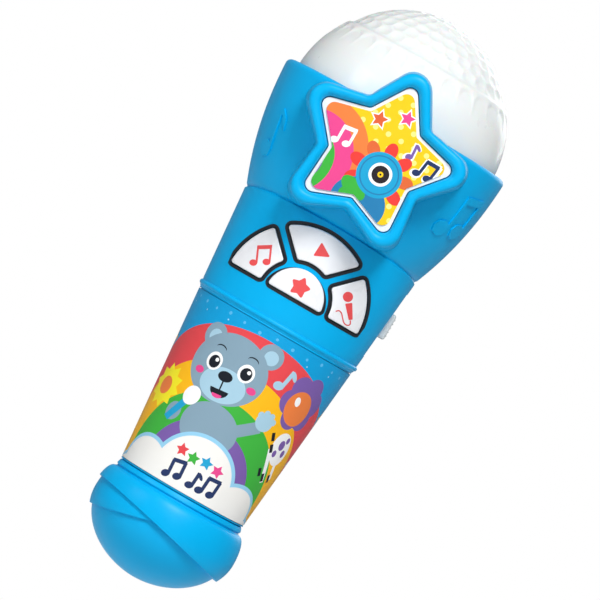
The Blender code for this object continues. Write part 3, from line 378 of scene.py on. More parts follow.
def star_corners(point_r, notch_r, centre=(0.0, 0.0)):
    """The ten corners of a five-pointed star that stands on two points."""
    corners = []
    for i in range(10):
        radius = notch_r if i % 2 else point_r
        angle = math.radians(90 + 36 * i)
        corners.append((centre[0] + radius * math.cos(angle), centre[1] + radius * math.sin(angle)))
    return corners


def evenly(outline, count):
    """The same closed outline with evenly spaced points."""
    points = [Vector(point) for point in outline]
    points.append(points[0])
    marks = [0.0]
    for before, after in zip(points, points[1:]):
        marks.append(marks[-1] + (after - before).length)
    even, at = [], 0
    for i in range(count):
        along = marks[-1] * i / count
        while marks[at + 1] < along:
            at += 1
        share = (along - marks[at]) / max(marks[at + 1] - marks[at], 1e-9)
        even.append(tuple(points[at].lerp(points[at + 1], share)))
    return even


def grown(outline, amount):
    """An outline of (x, z), anticlockwise, moved outwards along its normals."""
    moved = []
    for i, point in enumerate(outline):
        along = Vector(outline[(i + 1) % len(outline)]) - Vector(outline[i - 1])
        out = Vector((along.y, -along.x)).normalized()
        moved.append((point[0] + out.x * amount, point[1] + out.y * amount))
    return moved


# ---------------------------------------------------------------- outlines of the body


def between(low, high, share):
    return low + (high - low) * share


def grip_radius(z):
    size = sizes()
    return between(size.grip_bottom, size.grip_top, (z - GRIP_BOTTOM_Z) / (GRIP_TOP_Z - GRIP_BOTTOM_Z))


def panel_radius(z):
    size = sizes()
    return between(size.panel_bottom, size.panel_top, (z - BEAD_TOP_Z) / (PANEL_TOP_Z - BEAD_TOP_Z))


def collar_radius(z):
    """A flare that is steep at its foot and nearly straight below the rim."""
    foot_r, foot = sizes().panel_top + 0.0002, PANEL_TOP_Z + 0.0019
    share = min(max((z - foot) / (RIM_Z - 0.0020 - foot), 0.0), 1.0)
    flare = 0.75 * (1 - (1 - share) ** 2.2) + 0.25 * share
    return between(foot_r, RIM_R, flare)


def body_radius(z):
    if z < GRIP_TOP_Z:
        return grip_radius(z)
    return panel_radius(z) if z < PANEL_TOP_Z else collar_radius(z)


def outer_outline():
    """(radius, height) from the rim's top down to the grip's end."""
    size = sizes()
    soft = size.rim_round
    outline = arc((RIM_R - soft, RIM_Z - soft), soft, 90, 8, 8)
    top, foot = RIM_Z - soft - 0.0012, PANEL_TOP_Z + 0.0019
    outline += [(collar_radius(z), z) for z in (between(top, foot, i / 30) for i in range(31))]
    outline += [
        (size.panel_top - 0.0004, PANEL_TOP_Z + 0.0013),
        (size.panel_top - 0.0006, PANEL_TOP_Z + 0.0009),
        (size.panel_top - 0.0004, PANEL_TOP_Z + 0.0004),
    ]
    low = BEAD_TOP_Z + 0.0004
    outline += [(panel_radius(z), z) for z in (between(PANEL_TOP_Z, low, i / 24) for i in range(25))]
    middle = (BEAD_TOP_Z - 0.0004 + GRIP_TOP_Z + 0.0008) / 2
    outline += arc((size.bead - 0.0010, middle), 0.0010, 75, -75, 8)
    outline += [
        (size.grip_top + 0.0002, GRIP_TOP_Z + 0.0004),
        (size.grip_top - 0.0001, GRIP_TOP_Z + 0.0001),
        (size.grip_top - 0.0001, GRIP_TOP_Z - 0.0002),
    ]
    heights = [between(GRIP_TOP_Z - 0.0004, GRIP_BOTTOM_Z, i / 6) for i in range(7)]
    outline += [(grip_radius(z), z) for z in heights]
    return outline


def inner_outline():
    """The wall's inner side, from the spigot up to the rim."""
    size = sizes()
    wall = size.wall
    spigot_low, seat = CAP_HIGH.z - 0.0097, 0.0008
    inner = [
        (SPIGOT_R, GRIP_BOTTOM_Z),
        (SPIGOT_R, spigot_low),
        (SPIGOT_R - wall, spigot_low),
        (SPIGOT_R - wall, GRIP_BOTTOM_Z - 0.0010),
        (size.grip_bottom - seat - wall, GRIP_BOTTOM_Z + 0.0012),
        (size.grip_top - seat - wall, GRIP_TOP_Z),
        (size.panel_bottom - wall, BEAD_TOP_Z),
        (size.panel_top - wall, PANEL_TOP_Z),
    ]
    shelf = RIM_Z - 0.0105
    for i in range(1, 9):
        z = between(PANEL_TOP_Z, shelf, i / 8)
        inner.append((collar_radius(z) - wall, z))
    bore = RIM_R - 0.0039
    return inner + [(bore, shelf), (bore, RIM_Z - 0.0006), (bore + 0.0006, RIM_Z)]


def raise_front(obj):
    """Arches the crease between panel and collar: it stands higher in front than at the sides."""
    for vertex in obj.data.vertices:
        radius = math.hypot(vertex.co.x, vertex.co.y)
        away = abs(vertex.co.z - PANEL_TOP_Z) / 0.0170
        if radius > 0.001 and away < 1 and vertex.co.y < 0:
            vertex.co.z += sizes().arch * -vertex.co.y / radius * (1 - away) ** 1.5
    return obj


def body_form(name, grow):
    """The solid body, grown by an amount, for pieces that follow its surface."""
    outline = [(radius + grow, z) for radius, z in outer_outline()]
    return raise_front(turned(name, [(0.0, outline[0][1]), *outline, (0.0, outline[-1][1])]))


def front_surface(x, z, proud=0.0):
    """The y of the key panel's front at a place."""
    return -math.sqrt(max((panel_radius(z) + proud) ** 2 - x * x, 0.0))


def fan_outline(start, end, inset, grow=0.0):
    """A key of the fan between two angles in degrees, its sides moved in by inset and all of it grown."""
    outer, inner = FAN_OUTER_R + grow, sizes().fan_inner - grow
    soft = 0.0010 + max(grow, 0.0)
    side = inset - grow + soft
    outer_lean = math.degrees(math.asin(side / (outer - soft)))
    inner_lean = math.degrees(math.asin(side / (inner + soft)))

    def at(radius, angle):
        return (radius * math.cos(math.radians(angle)), FAN_Z + radius * math.sin(math.radians(angle)))

    first, last = start + outer_lean, end - outer_lean
    outline = arc(at(outer - soft, first), soft, start - 90, first, 5)
    outline += arc((0, FAN_Z), outer, first, last, 28)[1:-1]
    outline += arc(at(outer - soft, last), soft, last, end + 90, 5)
    first, last = end - inner_lean, start + inner_lean
    outline += arc(at(inner + soft, first), soft, end + 90, first + 180, 5)
    outline += arc((0, FAN_Z), inner, first, last, 18)[1:-1]
    outline += arc(at(inner + soft, last), soft, last + 180, start + 270, 5)
    return outline


def half_disc_outline(grow=0.0):
    """The star key: the upper half of a disc, its two lower corners rounded."""
    radius, soft = STAR_KEY_R + grow, 0.0010 + max(grow, 0.0)
    low = FAN_Z - grow
    lean = math.degrees(math.asin(soft / (radius - soft)))
    reach = (radius - soft) * math.cos(math.radians(lean))
    outline = arc((reach, low + soft), soft, -90, lean, 6)
    outline += arc((0, low), radius, lean, 180 - lean, 40)[1:-1]
    return outline + arc((-reach, low + soft), soft, 180 - lean, 270, 6)


KEYS = {
    "play_key": ("play_button", lambda grow: fan_outline(45, 135, sizes().fan_lane, grow)),
    "note_key": ("note_button", lambda grow: fan_outline(135, 180, 0.0, grow)),
    "record_key": ("record_button", lambda grow: fan_outline(0, 45, 0.0, grow)),
    "star_key": ("star_button", half_disc_outline),
}


# ---------------------------------------------------------------- materials


class Recipe:
    """A material's nodes, added one after another."""

    def __init__(self, name):
        self.material = bpy.data.materials.new(name)
        self.material.use_nodes = True
        self.tree = self.material.node_tree
        self.shader = self.tree.nodes["Principled BSDF"]
        self.place = self.tree.nodes.new("ShaderNodeTexCoord").outputs["Object"]

    def feed(self, socket, value):
        if isinstance(value, bpy.types.NodeSocket):
            self.tree.links.new(value, socket)
        elif value is not None:
            socket.default_value = value

    def add(self, kind, *values, **settings):
        node = self.tree.nodes.new(kind)
        for key, value in settings.items():
            setattr(node, key, value)
        for socket, value in zip(node.inputs, values):
            self.feed(socket, value)
        return node

    def math(self, operation, *values):
        return self.add("ShaderNodeMath", *values, operation=operation).outputs[0]

    def vector(self, operation, *values):
        return self.add("ShaderNodeVectorMath", *values, operation=operation).outputs[0]

    def noise(self, scale, detail=3.0, stretch=(1, 1, 1)):
        place = self.place
        if stretch != (1, 1, 1):
            place = self.add("ShaderNodeMapping", place, (0, 0, 0), (0, 0, 0), stretch).outputs[0]
        node = self.add("ShaderNodeTexNoise")
        self.feed(node.inputs["Vector"], place)
        node.inputs["Scale"].default_value = scale
        node.inputs["Detail"].default_value = detail
        return node.outputs[0]

    def spread(self, value, low, high):
        return self.add("ShaderNodeMapRange", value, 0.3, 0.7, low, high).outputs[0]

    def mix(self, share, first, second):
        node = self.add("ShaderNodeMix", data_type="RGBA")
        for index, value in ((0, share), (6, first), (7, second)):
            self.feed(node.inputs[index], value)
        return node.outputs[2]

    def surface(self, colour, rough, spread=0.06, grain=2600.0, depth=0.00001, **fixed):
        """Ends the recipe: colour, roughness that wanders a little, and a fine grain."""
        self.feed(self.shader.inputs["Base Color"], colour)
        worn = self.spread(self.noise(140.0), rough - spread / 2, rough + spread)
        self.feed(self.shader.inputs["Roughness"], worn)
        bump = self.add("ShaderNodeBump")
        bump.inputs["Strength"].default_value = 0.5
        bump.inputs["Distance"].default_value = depth
        self.feed(bump.inputs["Height"], self.noise(grain, 2.0))
        self.feed(self.shader.inputs["Normal"], bump.outputs[0])
        for socket, value in fixed.items():
            self.shader.inputs[socket.replace("_", " ")].default_value = value
        return self.material


def full(colour):
    return (*colour, 1.0)


def mottled(name, colour, rough, shade=0.94, patch=55.0, stretch=(1, 1, 1), **fixed):
    """A plain finish whose colour drifts slightly between two near shades."""
    recipe = Recipe(name)
    colour = tuple(colour)
    darker = full([part * shade for part in colour])
    share = recipe.spread(recipe.noise(patch, 3.0, stretch), 0.0, 1.0)
    return recipe.surface(recipe.mix(share, full(colour), darker), rough, **fixed)


def blue_plastic():
    found = bpy.data.materials.get("satin_blue_plastic")
    if found:
        return found
    return mottled(
        "satin_blue_plastic", colours().blue, 0.34, 0.965, depth=0.000012, Specular_IOR_Level=0.14
    )


class Print(Recipe):
    """Flat shapes laid one over another on a printed sheet. Places and sizes are in millimetres."""

    def __init__(self, name, ground, unrolled=False):
        super().__init__(name)
        self.colour = full(ground)
        if unrolled:
            plane = self.add("ShaderNodeUVMap", uv_map="unrolled").outputs[0]
        else:
            parts = self.add("ShaderNodeSeparateXYZ", self.place).outputs
            plane = self.add("ShaderNodeCombineXYZ", parts[0], parts[2], 0.0).outputs[0]
        self.plane = self.vector("SCALE", plane)
        self.plane.node.inputs["Scale"].default_value = 1000.0

    def local(self, x, y, wide, tall, turn):
        """Right and up from a place, turned, as shares of a half width and a half height."""
        lean = math.radians(turn)
        away = self.vector("SUBTRACT", self.plane, (x, y, 0))
        right = (math.cos(lean) / wide, math.sin(lean) / wide, 0)
        up = (-math.sin(lean) / tall, math.cos(lean) / tall, 0)
        dots = [self.add("ShaderNodeVectorMath", away, axis, operation="DOT_PRODUCT") for axis in (right, up)]
        return [dot.outputs["Value"] for dot in dots]

    def disc(self, x, y, wide, tall=None, turn=0):
        right, up = self.local(x, y, wide, tall or wide, turn)
        square = self.math("MULTIPLY_ADD", right, right, self.math("MULTIPLY", up, up))
        return self.math("LESS_THAN", square, 1.0)

    def bar(self, x, y, wide, tall, turn=0):
        sides = [self.math("ABSOLUTE", side) for side in self.local(x, y, wide, tall, turn)]
        return self.math("LESS_THAN", self.math("MAXIMUM", *sides), 1.0)

    def star(self, x, y, size, turn=0, notch=0.5):
        """A five-pointed star: folded into one half point, then cut off by one straight edge."""
        right, up = self.local(x, y, size, size, turn)
        turns = self.math("MULTIPLY_ADD", self.math("ARCTAN2", right, up), 5 / math.tau, 5.5)
        turns = self.math("FRACT", turns)
        fold = self.math("MULTIPLY", self.math("ABSOLUTE", self.math("SUBTRACT", turns, 0.5)), math.tau / 5)
        far = self.math("SQRT", self.math("MULTIPLY_ADD", right, right, self.math("MULTIPLY", up, up)))
        rise = notch * math.sin(math.radians(36))
        run = 1 - notch * math.cos(math.radians(36))
        edge = self.math("MULTIPLY", self.math("COSINE", fold), rise)
        edge = self.math("MULTIPLY_ADD", self.math("SINE", fold), run, edge)
        return self.math("LESS_THAN", self.math("MULTIPLY", far, edge), rise)

    def both(self, first, second):
        return self.math("MULTIPLY", first, second)

    def without(self, first, second):
        return self.math("MULTIPLY", first, self.math("SUBTRACT", 1.0, second))

    def paint(self, colour, *shapes):
        for shape in shapes:
            self.colour = self.mix(shape, self.colour, full(colour))

    def note(self, x, y, size, colour, turn=0, beamed=False, bold=1.0):
        """A quaver, or a pair joined by a beam, as high as size."""
        lean = math.radians(turn)

        def at(right, up):
            right, up = right * size, up * size
            across = x + right * math.cos(lean) - up * math.sin(lean)
            return across, y + right * math.sin(lean) + up * math.cos(lean)

        heads = ((-0.34, -0.36), (0.22, -0.28)) if beamed else ((-0.12, -0.34),)
        thin = 0.055 * size * bold
        for right, up in heads:
            wide, tall = 0.17 * size * bold**0.5, 0.135 * size * bold**0.5
            self.paint(colour, self.disc(*at(right, up), wide, tall, turn + 22))
            self.paint(colour, self.bar(*at(right + 0.13, up + 0.36), thin, 0.38 * size, turn))
        if beamed:
            self.paint(colour, self.bar(*at(0.07, 0.40), 0.335 * size, 0.095 * size, turn + 8))
        else:
            self.paint(colour, self.disc(*at(0.14, 0.27), 0.20 * size, 0.085 * size, turn - 42))


PRINT_WHITE = (0.93, 0.93, 0.92)
DOT_BLUE = (0.10, 0.48, 0.80)
SUN_YELLOW = (0.95, 0.83, 0.02)
PALE_YELLOW = (0.98, 0.86, 0.25)
EMBER = (0.72, 0.12, 0.04)
PETAL_RED = (0.80, 0.05, 0.04)
PETAL_ORANGE = (0.72, 0.14, 0.04)
DEEP_BLUE = (0.02, 0.20, 0.42)
RECORD_BLACK = (0.02, 0.015, 0.02)
SUNFLOWER = (-30.5, -3.0)
PAW_PADS = ((-2.6, 2.0), (-0.6, 3.4), (1.7, 3.2), (3.3, 1.5))
CLOUD_LOBES = (
    (0.0, -28.6, 16.0),
    (-21.5, -34.4, 11.9),
    (21.5, -34.4, 11.9),
    (-33, -42.0, 9.0),
    (33, -42.0, 9.0),
)


def paint_sky(art, tone):
    """Sparkles, the rainbow, and the stars and notes that lie round the sides."""
    for i in range(-7, 8):
        art.paint(DOT_BLUE, art.disc(i * 7.0 + 2.5, 32.4 - 0.5 * (i % 3), 0.55 + 0.12 * (i % 2)))
    for i in range(-4, 5):
        art.paint(tone.mist, art.disc(i * 12.0 + 6.0, 29.8 - 0.7 * (i % 2), 0.34))
    for colour, radius in ((tone.red, 59.5), (tone.yellow, 45.5), (tone.green, 33.0), (tone.purple, 22.6)):
        art.paint(colour, art.disc(0, -29, radius, radius))
    for side in (-1, 1):
        art.paint(tone.yellow, art.star(side * 47, 14, 4.2, 10 * side))
        art.note(side * 46, -4, 9.0, tone.muzzle, -12 * side, beamed=side > 0)
        art.paint(tone.azure, art.star(side * 45, -20, 3.6, -14 * side))


def paint_flowers(art, tone):
    """A sunflower at the left edge and a purple flower with an orange heart at the right."""
    for turn in (12, 48):
        art.paint(SUN_YELLOW, art.star(*SUNFLOWER, 9.0, turn, 0.62))
    art.paint(tone.orange, art.disc(*SUNFLOWER, 3.6))
    for i in range(6):
        angle = math.radians(60 * i + 12)
        art.paint(tone.purple, art.disc(25.5 + 6.0 * math.cos(angle), 16.0 + 6.6 * math.sin(angle), 4.6, 5.0))
    art.paint(tone.orange, art.disc(24.6, 13.6, 6.4, 7.0, 12))
    art.paint(PRINT_WHITE, art.disc(22.6, 16.0, 1.3, 1.9, 20))


def paint_shaker(art, tone):
    """A spotted shaker with two handles and the marks of its shaking."""
    for shape in (art.bar(25.6, -10.6, 0.9, 7.0, 24), art.bar(30.2, -9.0, 0.8, 6.4, 24)):
        art.paint(PRINT_WHITE, shape)
    art.paint(PRINT_WHITE, art.disc(28.0, -2.8, 5.2, 6.8, 18))
    for x, y, size in ((27.6, -1.2, 1.6), (30.8, -3.9, 1.2), (26.0, -5.2, 1.1), (29.6, 1.4, 1.0)):
        art.paint(tone.purple, art.disc(x, y, size, size * 1.3, 10))
    for x, y in ((23.1, -4.0), (24.2, -13.8), (27.4, -15.2), (31.6, -14.6), (21.0, 0.2)):
        art.paint(tone.ink_and_gap_shade, art.bar(x, y, 0.75, 1.7, 28))


def paint_bear(art, tone):
    """Body and arms, ears, head, muzzle and face, then the small microphone in a paw."""
    white, ink_and_gap_shade = PRINT_WHITE, tone.ink_and_gap_shade
    art.paint(
        tone.grey,
        art.disc(-3.5, -9.0, 11.5, 9.6),
        art.bar(8.4, -3.2, 6.6, 2.3, 38),
        art.disc(3.0, -7.6, 4.0),
    )
    art.paint(
        tone.muzzle,
        art.disc(14.2, 3.2, 3.6),
        *[art.disc(14.2 + dx, 3.2 + dy, 1.25) for dx, dy in PAW_PADS],
    )
    art.paint(tone.grey, art.disc(-19.6, -9.8, 3.3, 3.8, -20))
    for x, y in ((-19.6, 22.6), (3.8, 25.6)):
        art.paint(tone.grey, art.disc(x, y, 4.9))
        art.paint(tone.muzzle, art.disc(x + 0.3, y - 0.4, 2.8))
    art.paint(tone.grey, art.disc(-8.2, 13.6, 15.6, 13.6, 6))
    art.paint(tone.muzzle, art.disc(-7.0, 7.4, 9.2, 6.6, 6))
    for x, y in ((-14.4, 14.0), (-1.2, 15.6)):
        art.paint(white, art.disc(x, y, 3.25, 3.55))
        art.paint(ink_and_gap_shade, art.disc(x + 0.1, y - 0.2, 2.25, 2.5))
        art.paint(white, art.disc(x + 0.8, y + 0.8, 0.75))
        art.paint(ink_and_gap_shade, art.without(art.disc(x, y + 5.4, 2.2, 1.4), art.disc(x, y + 4.8, 2.3, 1.5)))
    art.paint(tone.pink, art.disc(-18.3, 8.6, 1.9, 1.4), art.disc(3.6, 10.8, 1.9, 1.4))
    art.paint(ink_and_gap_shade, art.disc(-7.5, 10.8, 2.9, 2.0, 6), art.bar(-7.2, 7.6, 0.3, 2.0, 6))
    art.paint(ink_and_gap_shade, art.both(art.disc(-7.0, 5.6, 3.7, 3.1, 6), art.bar(-7.0, 3.6, 5.0, 2.0, 6)))
    art.paint(tone.pink, art.both(art.disc(-7.0, 3.3, 2.0, 1.1, 6), art.bar(-7.0, 2.4, 5.0, 1.3, 6)))
    art.paint(tone.azure, art.bar(-18.4, -7.6, 1.4, 6.4, -26))
    art.paint(white, art.disc(-15.6, -1.4, 3.5, 3.9, -26))


def paint_cloud(art, tone):
    """The cloud with its pale edge, four stars and a row of notes on it."""
    for rim, colour in ((1.5, tone.mist), (0.0, tone.cloud)):
        art.paint(colour, *[art.disc(x, y, radius + rim) for x, y, radius in CLOUD_LOBES])
    for i, colour in enumerate((tone.red, tone.green, tone.azure, tone.pink)):
        art.paint(colour, art.star(-7.8 + 5.2 * i, -20.6 - 0.8 * (i % 2), 2.7, 14 - 9 * i, 0.52))
    art.note(-6.6, -28.2, 8.2, tone.navy, 4, beamed=True, bold=1.5)
    art.note(2.0, -28.2, 8.0, tone.navy, -4, bold=1.5)
    art.note(8.0, -28.0, 8.2, tone.navy, -4, beamed=True, bold=1.5)


def label_print():
    """Sky, rainbow, cloud and a singing bear, on the label's unrolled surface."""
    tone = colours()
    art = Print("label_print", tone.sky, unrolled=True)
    paint_sky(art, tone)
    paint_flowers(art, tone)
    paint_shaker(art, tone)
    # a quaver on the red band
    art.note(13.6, 21.0, 10.5, tone.muzzle, -12, bold=1.4)
    paint_bear(art, tone)
    paint_cloud(art, tone)
    return art.surface(art.colour, 0.34, 0.05, grain=1500.0, depth=0.000006, Specular_IOR_Level=0.25)


def paint_ground(art, tone, middle):
    """Pale dots in staggered rows, and a rainbow from the left point to the lower middle."""
    for row in range(-5, 7):
        for column in range(-5, 6):
            x, y = column * 5.4 + 2.7 * (row % 2), middle + row * 4.6
            if math.hypot(x, y - middle) < 31:
                art.paint(PALE_YELLOW, art.disc(x, y, 1.0))
    for colour, reach in ((tone.orange, 22.5), (tone.pink, 17.5), (tone.green, 11.2), (tone.purple, 7.6)):
        art.paint(colour, art.disc(-23.5, middle - 14.5, reach, reach * 1.18, -20))


def paint_tune(art, tone, middle):
    """A white pair of notes, two edged stars and two edged notes."""
    white = PRINT_WHITE
    art.note(-13.6, middle + 0.6, 8.2, white, 0, beamed=True, bold=1.2)
    for x, y, size, colour in ((-5.5, 12.4, 3.2, EMBER), (3.4, 17.6, 3.0, tone.pink)):
        art.paint(white, art.star(x, middle + y, size + 1.0, 8))
        art.paint(colour, art.star(x, middle + y, size, 8))
    art.note(11.4, middle + 8.2, 8.2, white, 4, bold=2.4)
    art.note(11.4, middle + 8.2, 7.2, tone.purple, 4, bold=1.3)
    art.note(19.2, middle + 4.4, 9.0, white, -8, beamed=True, bold=2.0)
    art.note(19.0, middle + 4.4, 8.0, tone.navy, -8, beamed=True, bold=1.3)


def paint_record(art, tone, middle):
    """A ring of petals, a blue hill, green leaves, and the record over them."""
    for i in range(9):
        angle = math.radians(40 * i + 12)
        x, y = 4.6 + 9.6 * math.cos(angle), middle - 5.6 + 9.6 * math.sin(angle)
        colour = PETAL_RED if i % 3 else PETAL_ORANGE
        art.paint(colour, art.disc(x, y, 3.4, 2.4, 40 * i + 12))
    art.paint(DEEP_BLUE, art.disc(2.6, middle - 18.4, 10.6, 9.4))
    art.paint(tone.green, art.disc(-1.4, middle - 14.4, 5.6, 3.2, -20), art.disc(-3.0, middle - 17.6, 2.6))
    record = (4.6, middle - 5.6)
    art.paint(tone.azure, art.disc(*record, 8.6))
    art.paint(DEEP_BLUE, art.without(art.disc(*record, 7.4), art.disc(*record, 6.9)))
    rings = ((PRINT_WHITE, 4.4), (RECORD_BLACK, 3.3), (tone.straw, 1.1), (RECORD_BLACK, 0.4))
    for colour, radius in rings:
        art.paint(colour, art.disc(4.9, middle - 5.2, radius))


def picture_print():
    """Stars, notes, a rainbow and a record on a sunny ground."""
    tone = colours()
    art = Print("picture_print", tone.straw)
    for part in (paint_ground, paint_tune, paint_record):
        part(art, tone, STAR_Z * 1000)
    return art.surface(art.colour, 0.30, 0.05, grain=1500.0, depth=0.000004, Specular_IOR_Level=0.30)


# ---------------------------------------------------------------- pieces


def half_shell(name, front):
    """One half of the wall, parted at the seam, its cut faces filled."""
    shell = raise_front(turned(name, outer_outline() + inner_outline()))
    side = -SEAM / 2 if front else SEAM / 2
    parted(shell, (0, side, 0), (0, 1, 0), clear_outer=front, clear_inner=not front)
    combine(shell, label_seat(name), "DIFFERENCE")
    pocket_low = (0.0336, SWITCH_Y - 0.0100, SWITCH_Z - 0.0140)
    pocket_high = (BEYOND, SWITCH_Y + 0.0070, SWITCH_Z + 0.0140)
    return combine(shell, box(name + "_pocket", pocket_low, pocket_high), "DIFFERENCE")


def label_seat(name):
    low, high = LABEL_LOW.z - SEAM, LABEL_HIGH.z + SEAM
    outside, depth = 0.001, -0.0008
    corners = ((outside, high), (outside, low), (depth, low), (depth, high))
    seat = turned(name + "_seat", [(grip_radius(z) + grow, z) for grow, z in corners])
    return parted(seat, (0, LABEL_HIGH.y + SEAM, 0), (0, 1, 0), clear_outer=True)


def note_relief(azimuth, z, pair):
    """A raised note on the collar, turned round the axis to its place."""
    left = [(0.0041, 0.0), (0.0030, 0.0024), (0.0, 0.0033), (-0.0030, 0.0024)]
    head = left + [(-x, -y) for x, y in left]
    outlines = []
    spots = ((-0.0055, -0.0075), (0.0050, -0.0060)) if pair else ((-0.0015, -0.0075),)
    for x, up in spots:
        near, far, foot, tip = x + 0.0026, x + 0.0041, up, up + 0.0150
        outlines.append([(px + x, up + py) for px, py in head][::-1])
        outlines.append([(near, foot), (far, foot), (far, tip), (near, tip)])
    if pair:
        outlines.append([(-0.0029, 0.0046), (0.0091, 0.0062), (0.0091, 0.0092), (-0.0029, 0.0076)])
    else:
        flag = [(0.0011, 0.0075), (0.0036, 0.0058), (0.0072, 0.0010), (0.0064, 0.0052), (0.0026, 0.0086)]
        outlines.append(flag)
    front, back = -0.055, -0.030
    parts = [prism("note_part", [(x, z + up) for x, up in outline], front, back) for outline in outlines]
    whole = parts[0]
    for part in parts[1:]:
        combine(whole, part, "UNION")
    whole.data.transform(Matrix.Rotation(math.radians(azimuth), 4, "Z"))
    return whole


def make_front():
    """The front half: raised notes on the collar and the openings of the keys."""
    front = half_shell("front_shell_fine", True)
    for azimuth, z, pair in ((-60, RIM_Z - 0.0265, False), (58, RIM_Z - 0.0200, True)):
        relief = combine(note_relief(azimuth, z, pair), body_form("relief_form", 0.0006), "INTERSECT")
        combine(front, relief, "UNION")
    for key, (_, outline) in KEYS.items():
        combine(front, prism(key + "_hole", outline(KEY_GAP), -BEYOND, -0.012), "DIFFERENCE")
    finished(front, "front_shell", "housing", blue_plastic())


def make_rear():
    """The rear half: screw bosses and bores, grille slots, door opening and the switch stem's slot."""
    rear = half_shell("rear_shell_fine", False)
    screws = [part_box(f"case_screw_{i}") for i in range(1, 7)]
    places = [((low.x + high.x) / 2, high.y, (low.z + high.z) / 2) for low, high in screws]
    boss_r, bore_r, shank_r = 0.0032, 0.0024, 0.0011
    bosses = joined([rod("boss", (x, SEAM / 2, z), (x, 0.05, z), boss_r) for x, _, z in places])
    bores = joined([rod("bore", (x, y - 0.0017, z), (x, BEYOND, z), bore_r) for x, y, z in places])
    shanks = joined([rod("shank", (x, -0.01, z), (x, 0.03, z), shank_r, 16) for x, _, z in places])
    combine(rear, combine(bosses, body_form("boss_form", -0.0012), "INTERSECT"), "UNION")
    opening = prism("door_opening", door_outline(SEAM), 0.012, 0.05)
    for cutter in (bores, shanks, joined(grille_slots()), opening):
        combine(rear, cutter, "DIFFERENCE")
    slot_low = (0.031, SWITCH_Y - 0.0020, SWITCH_Z - 0.0074)
    combine(rear, box("stem_slot", slot_low, (0.036, SWITCH_Y + 0.0020, SWITCH_Z + 0.0074)), "DIFFERENCE")
    finished(rear, "rear_shell", "housing", blue_plastic())


def stadium(x, z, half_length, radius):
    """A slot's outline with round ends, level."""
    reach = half_length - radius
    return arc((x + reach, z), radius, -90, 90, 8) + arc((x - reach, z), radius, 90, 270, 8)


def grille_slots():
    slots = []
    pitch, grille_r = 0.0038, 0.0126
    for row in range(-3, 4):
        reach = math.sqrt(grille_r**2 - (row * pitch) ** 2)
        slots.append(prism("grille_slot", stadium(0, SPEAKER_Z + row * pitch, reach, 0.0009), 0.0302, BEYOND))
    return slots


def door_outline(grow):
    low, high = DOOR_LOW.z - grow, DOOR_HIGH.z + grow
    half = DOOR_HIGH.x + grow
    return rounded([(-half, low), (half, low), (half, high), (-half, high)], [0.0025 + grow] * 4)


def make_door():
    """A curved cover with grip bars, a screw well and a relieved hinge edge."""
    door = prism("battery_door_fine", door_outline(0.0), 0.012, 0.05)
    combine(door, body_form("door_outside", 0.0), "INTERSECT")
    combine(door, body_form("door_inside", -0.0021), "DIFFERENCE")
    low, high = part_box("door_screw")
    z = (low.z + high.z) / 2
    boss = rod("door_boss", (0, high.y - 0.0024, z), (0, 0.05, z), 0.0036)
    combine(door, combine(boss, body_form("form", -0.0004), "INTERSECT"), "UNION")
    combine(door, rod("well", (0, high.y - 0.0014, z), (0, 0.06, z), 0.0026), "DIFFERENCE")
    combine(door, rod("shank", (0, 0.01, z), (0, 0.05, z), 0.0012, 16), "DIFFERENCE")
    heights = [DOOR_HIGH.z - 0.0090 - 0.0026 * i for i in range(5)]
    bars = [prism("bar", stadium(0, z, 0.0085, 0.0006), 0.02, 0.05) for z in heights]
    combine(door, combine(joined(bars), body_form("bar_form", 0.00035), "INTERSECT"), "UNION")
    # The inner side's lower edge is relieved, so that the door can tip about its hinge.
    for vertex in door.data.vertices:
        under = grip_radius(vertex.co.z) - math.hypot(vertex.co.x, vertex.co.y)
        if under > 0.0010:
            vertex.co.z = max(vertex.co.z, DOOR_LOW.z + 0.0015)
    finished(door, "battery_door", "battery_cover", blue_plastic())


def cap_layer(name, shrink, cut_at, slope, tilt):
    """The cap's outer form, shrunk, and cut off below a slanting plane where one is given."""
    lip, waist, drop = sizes().grip_bottom, CAP_HIGH.x - shrink, 0.0142
    top, bottom = CAP_HIGH.z, CAP_LOW.z + 0.1 * shrink
    middle = CAP_HIGH.z + SEAM - drop
    outline = [(lip - 0.0006, top), (lip - 0.0001, top - 0.0004), (lip + 0.0004, top - 0.0019)]
    outline += [
        (lip + 0.0001, top - 0.0024),
        (lip - 0.0002, top - 0.0026),
        (lip + 0.0002 - shrink, top - 0.0031),
    ]
    shoulder = top - 0.0033
    for i in range(1, 17):
        angle = math.radians(90 * i / 16)
        radius = between(lip + 0.0005 - shrink, waist, math.sin(angle) ** 0.92)
        outline.append((radius, shoulder + (middle - shoulder) * (1 - math.cos(angle))))
    for i in range(1, 33):
        angle = math.radians(90 * i / 32)
        radius = waist * max(math.cos(angle), 0.0) ** 1.04
        outline.append((radius, middle + (bottom - middle) * math.sin(angle)))
    outline[-1] = (0.0, bottom)
    layer = turned(name, outline + [(0.0, top)])
    if cut_at is not None:
        parted(layer, (0, 0, cut_at), (-slope, -tilt, 1), clear_inner=True)
    return layer


def make_cap():
    """Three layers that lap over each other like a folded wrap, hollowed for the spigot."""
    cap = cap_layer("end_cap_fine", 0.0021, None, 0, 0)
    combine(cap, cap_layer("cap_wrap", 0.0010, -0.0482, 0.27, 0.0), "UNION")
    combine(cap, cap_layer("cap_band", 0.0, -0.0518, -0.2275, -0.06), "UNION")
    well_r, well_z = SPIGOT_R + 0.0003, CAP_HIGH.z - 0.0105
    combine(cap, rod("cap_well", (0, 0, well_z), (0, 0, CAP_HIGH.z + 0.01), well_r, 192), "DIFFERENCE")
    take(cap)
    bevel = cap.modifiers.new("Soft edges", "BEVEL")
    bevel.width, bevel.segments, bevel.limit_method = 0.00025, 3, "ANGLE"
    bevel.angle_limit = math.radians(30)
    bpy.ops.object.modifier_apply(modifier=bevel.name)
    finished(cap, "end_cap", "housing", blue_plastic(), 40)


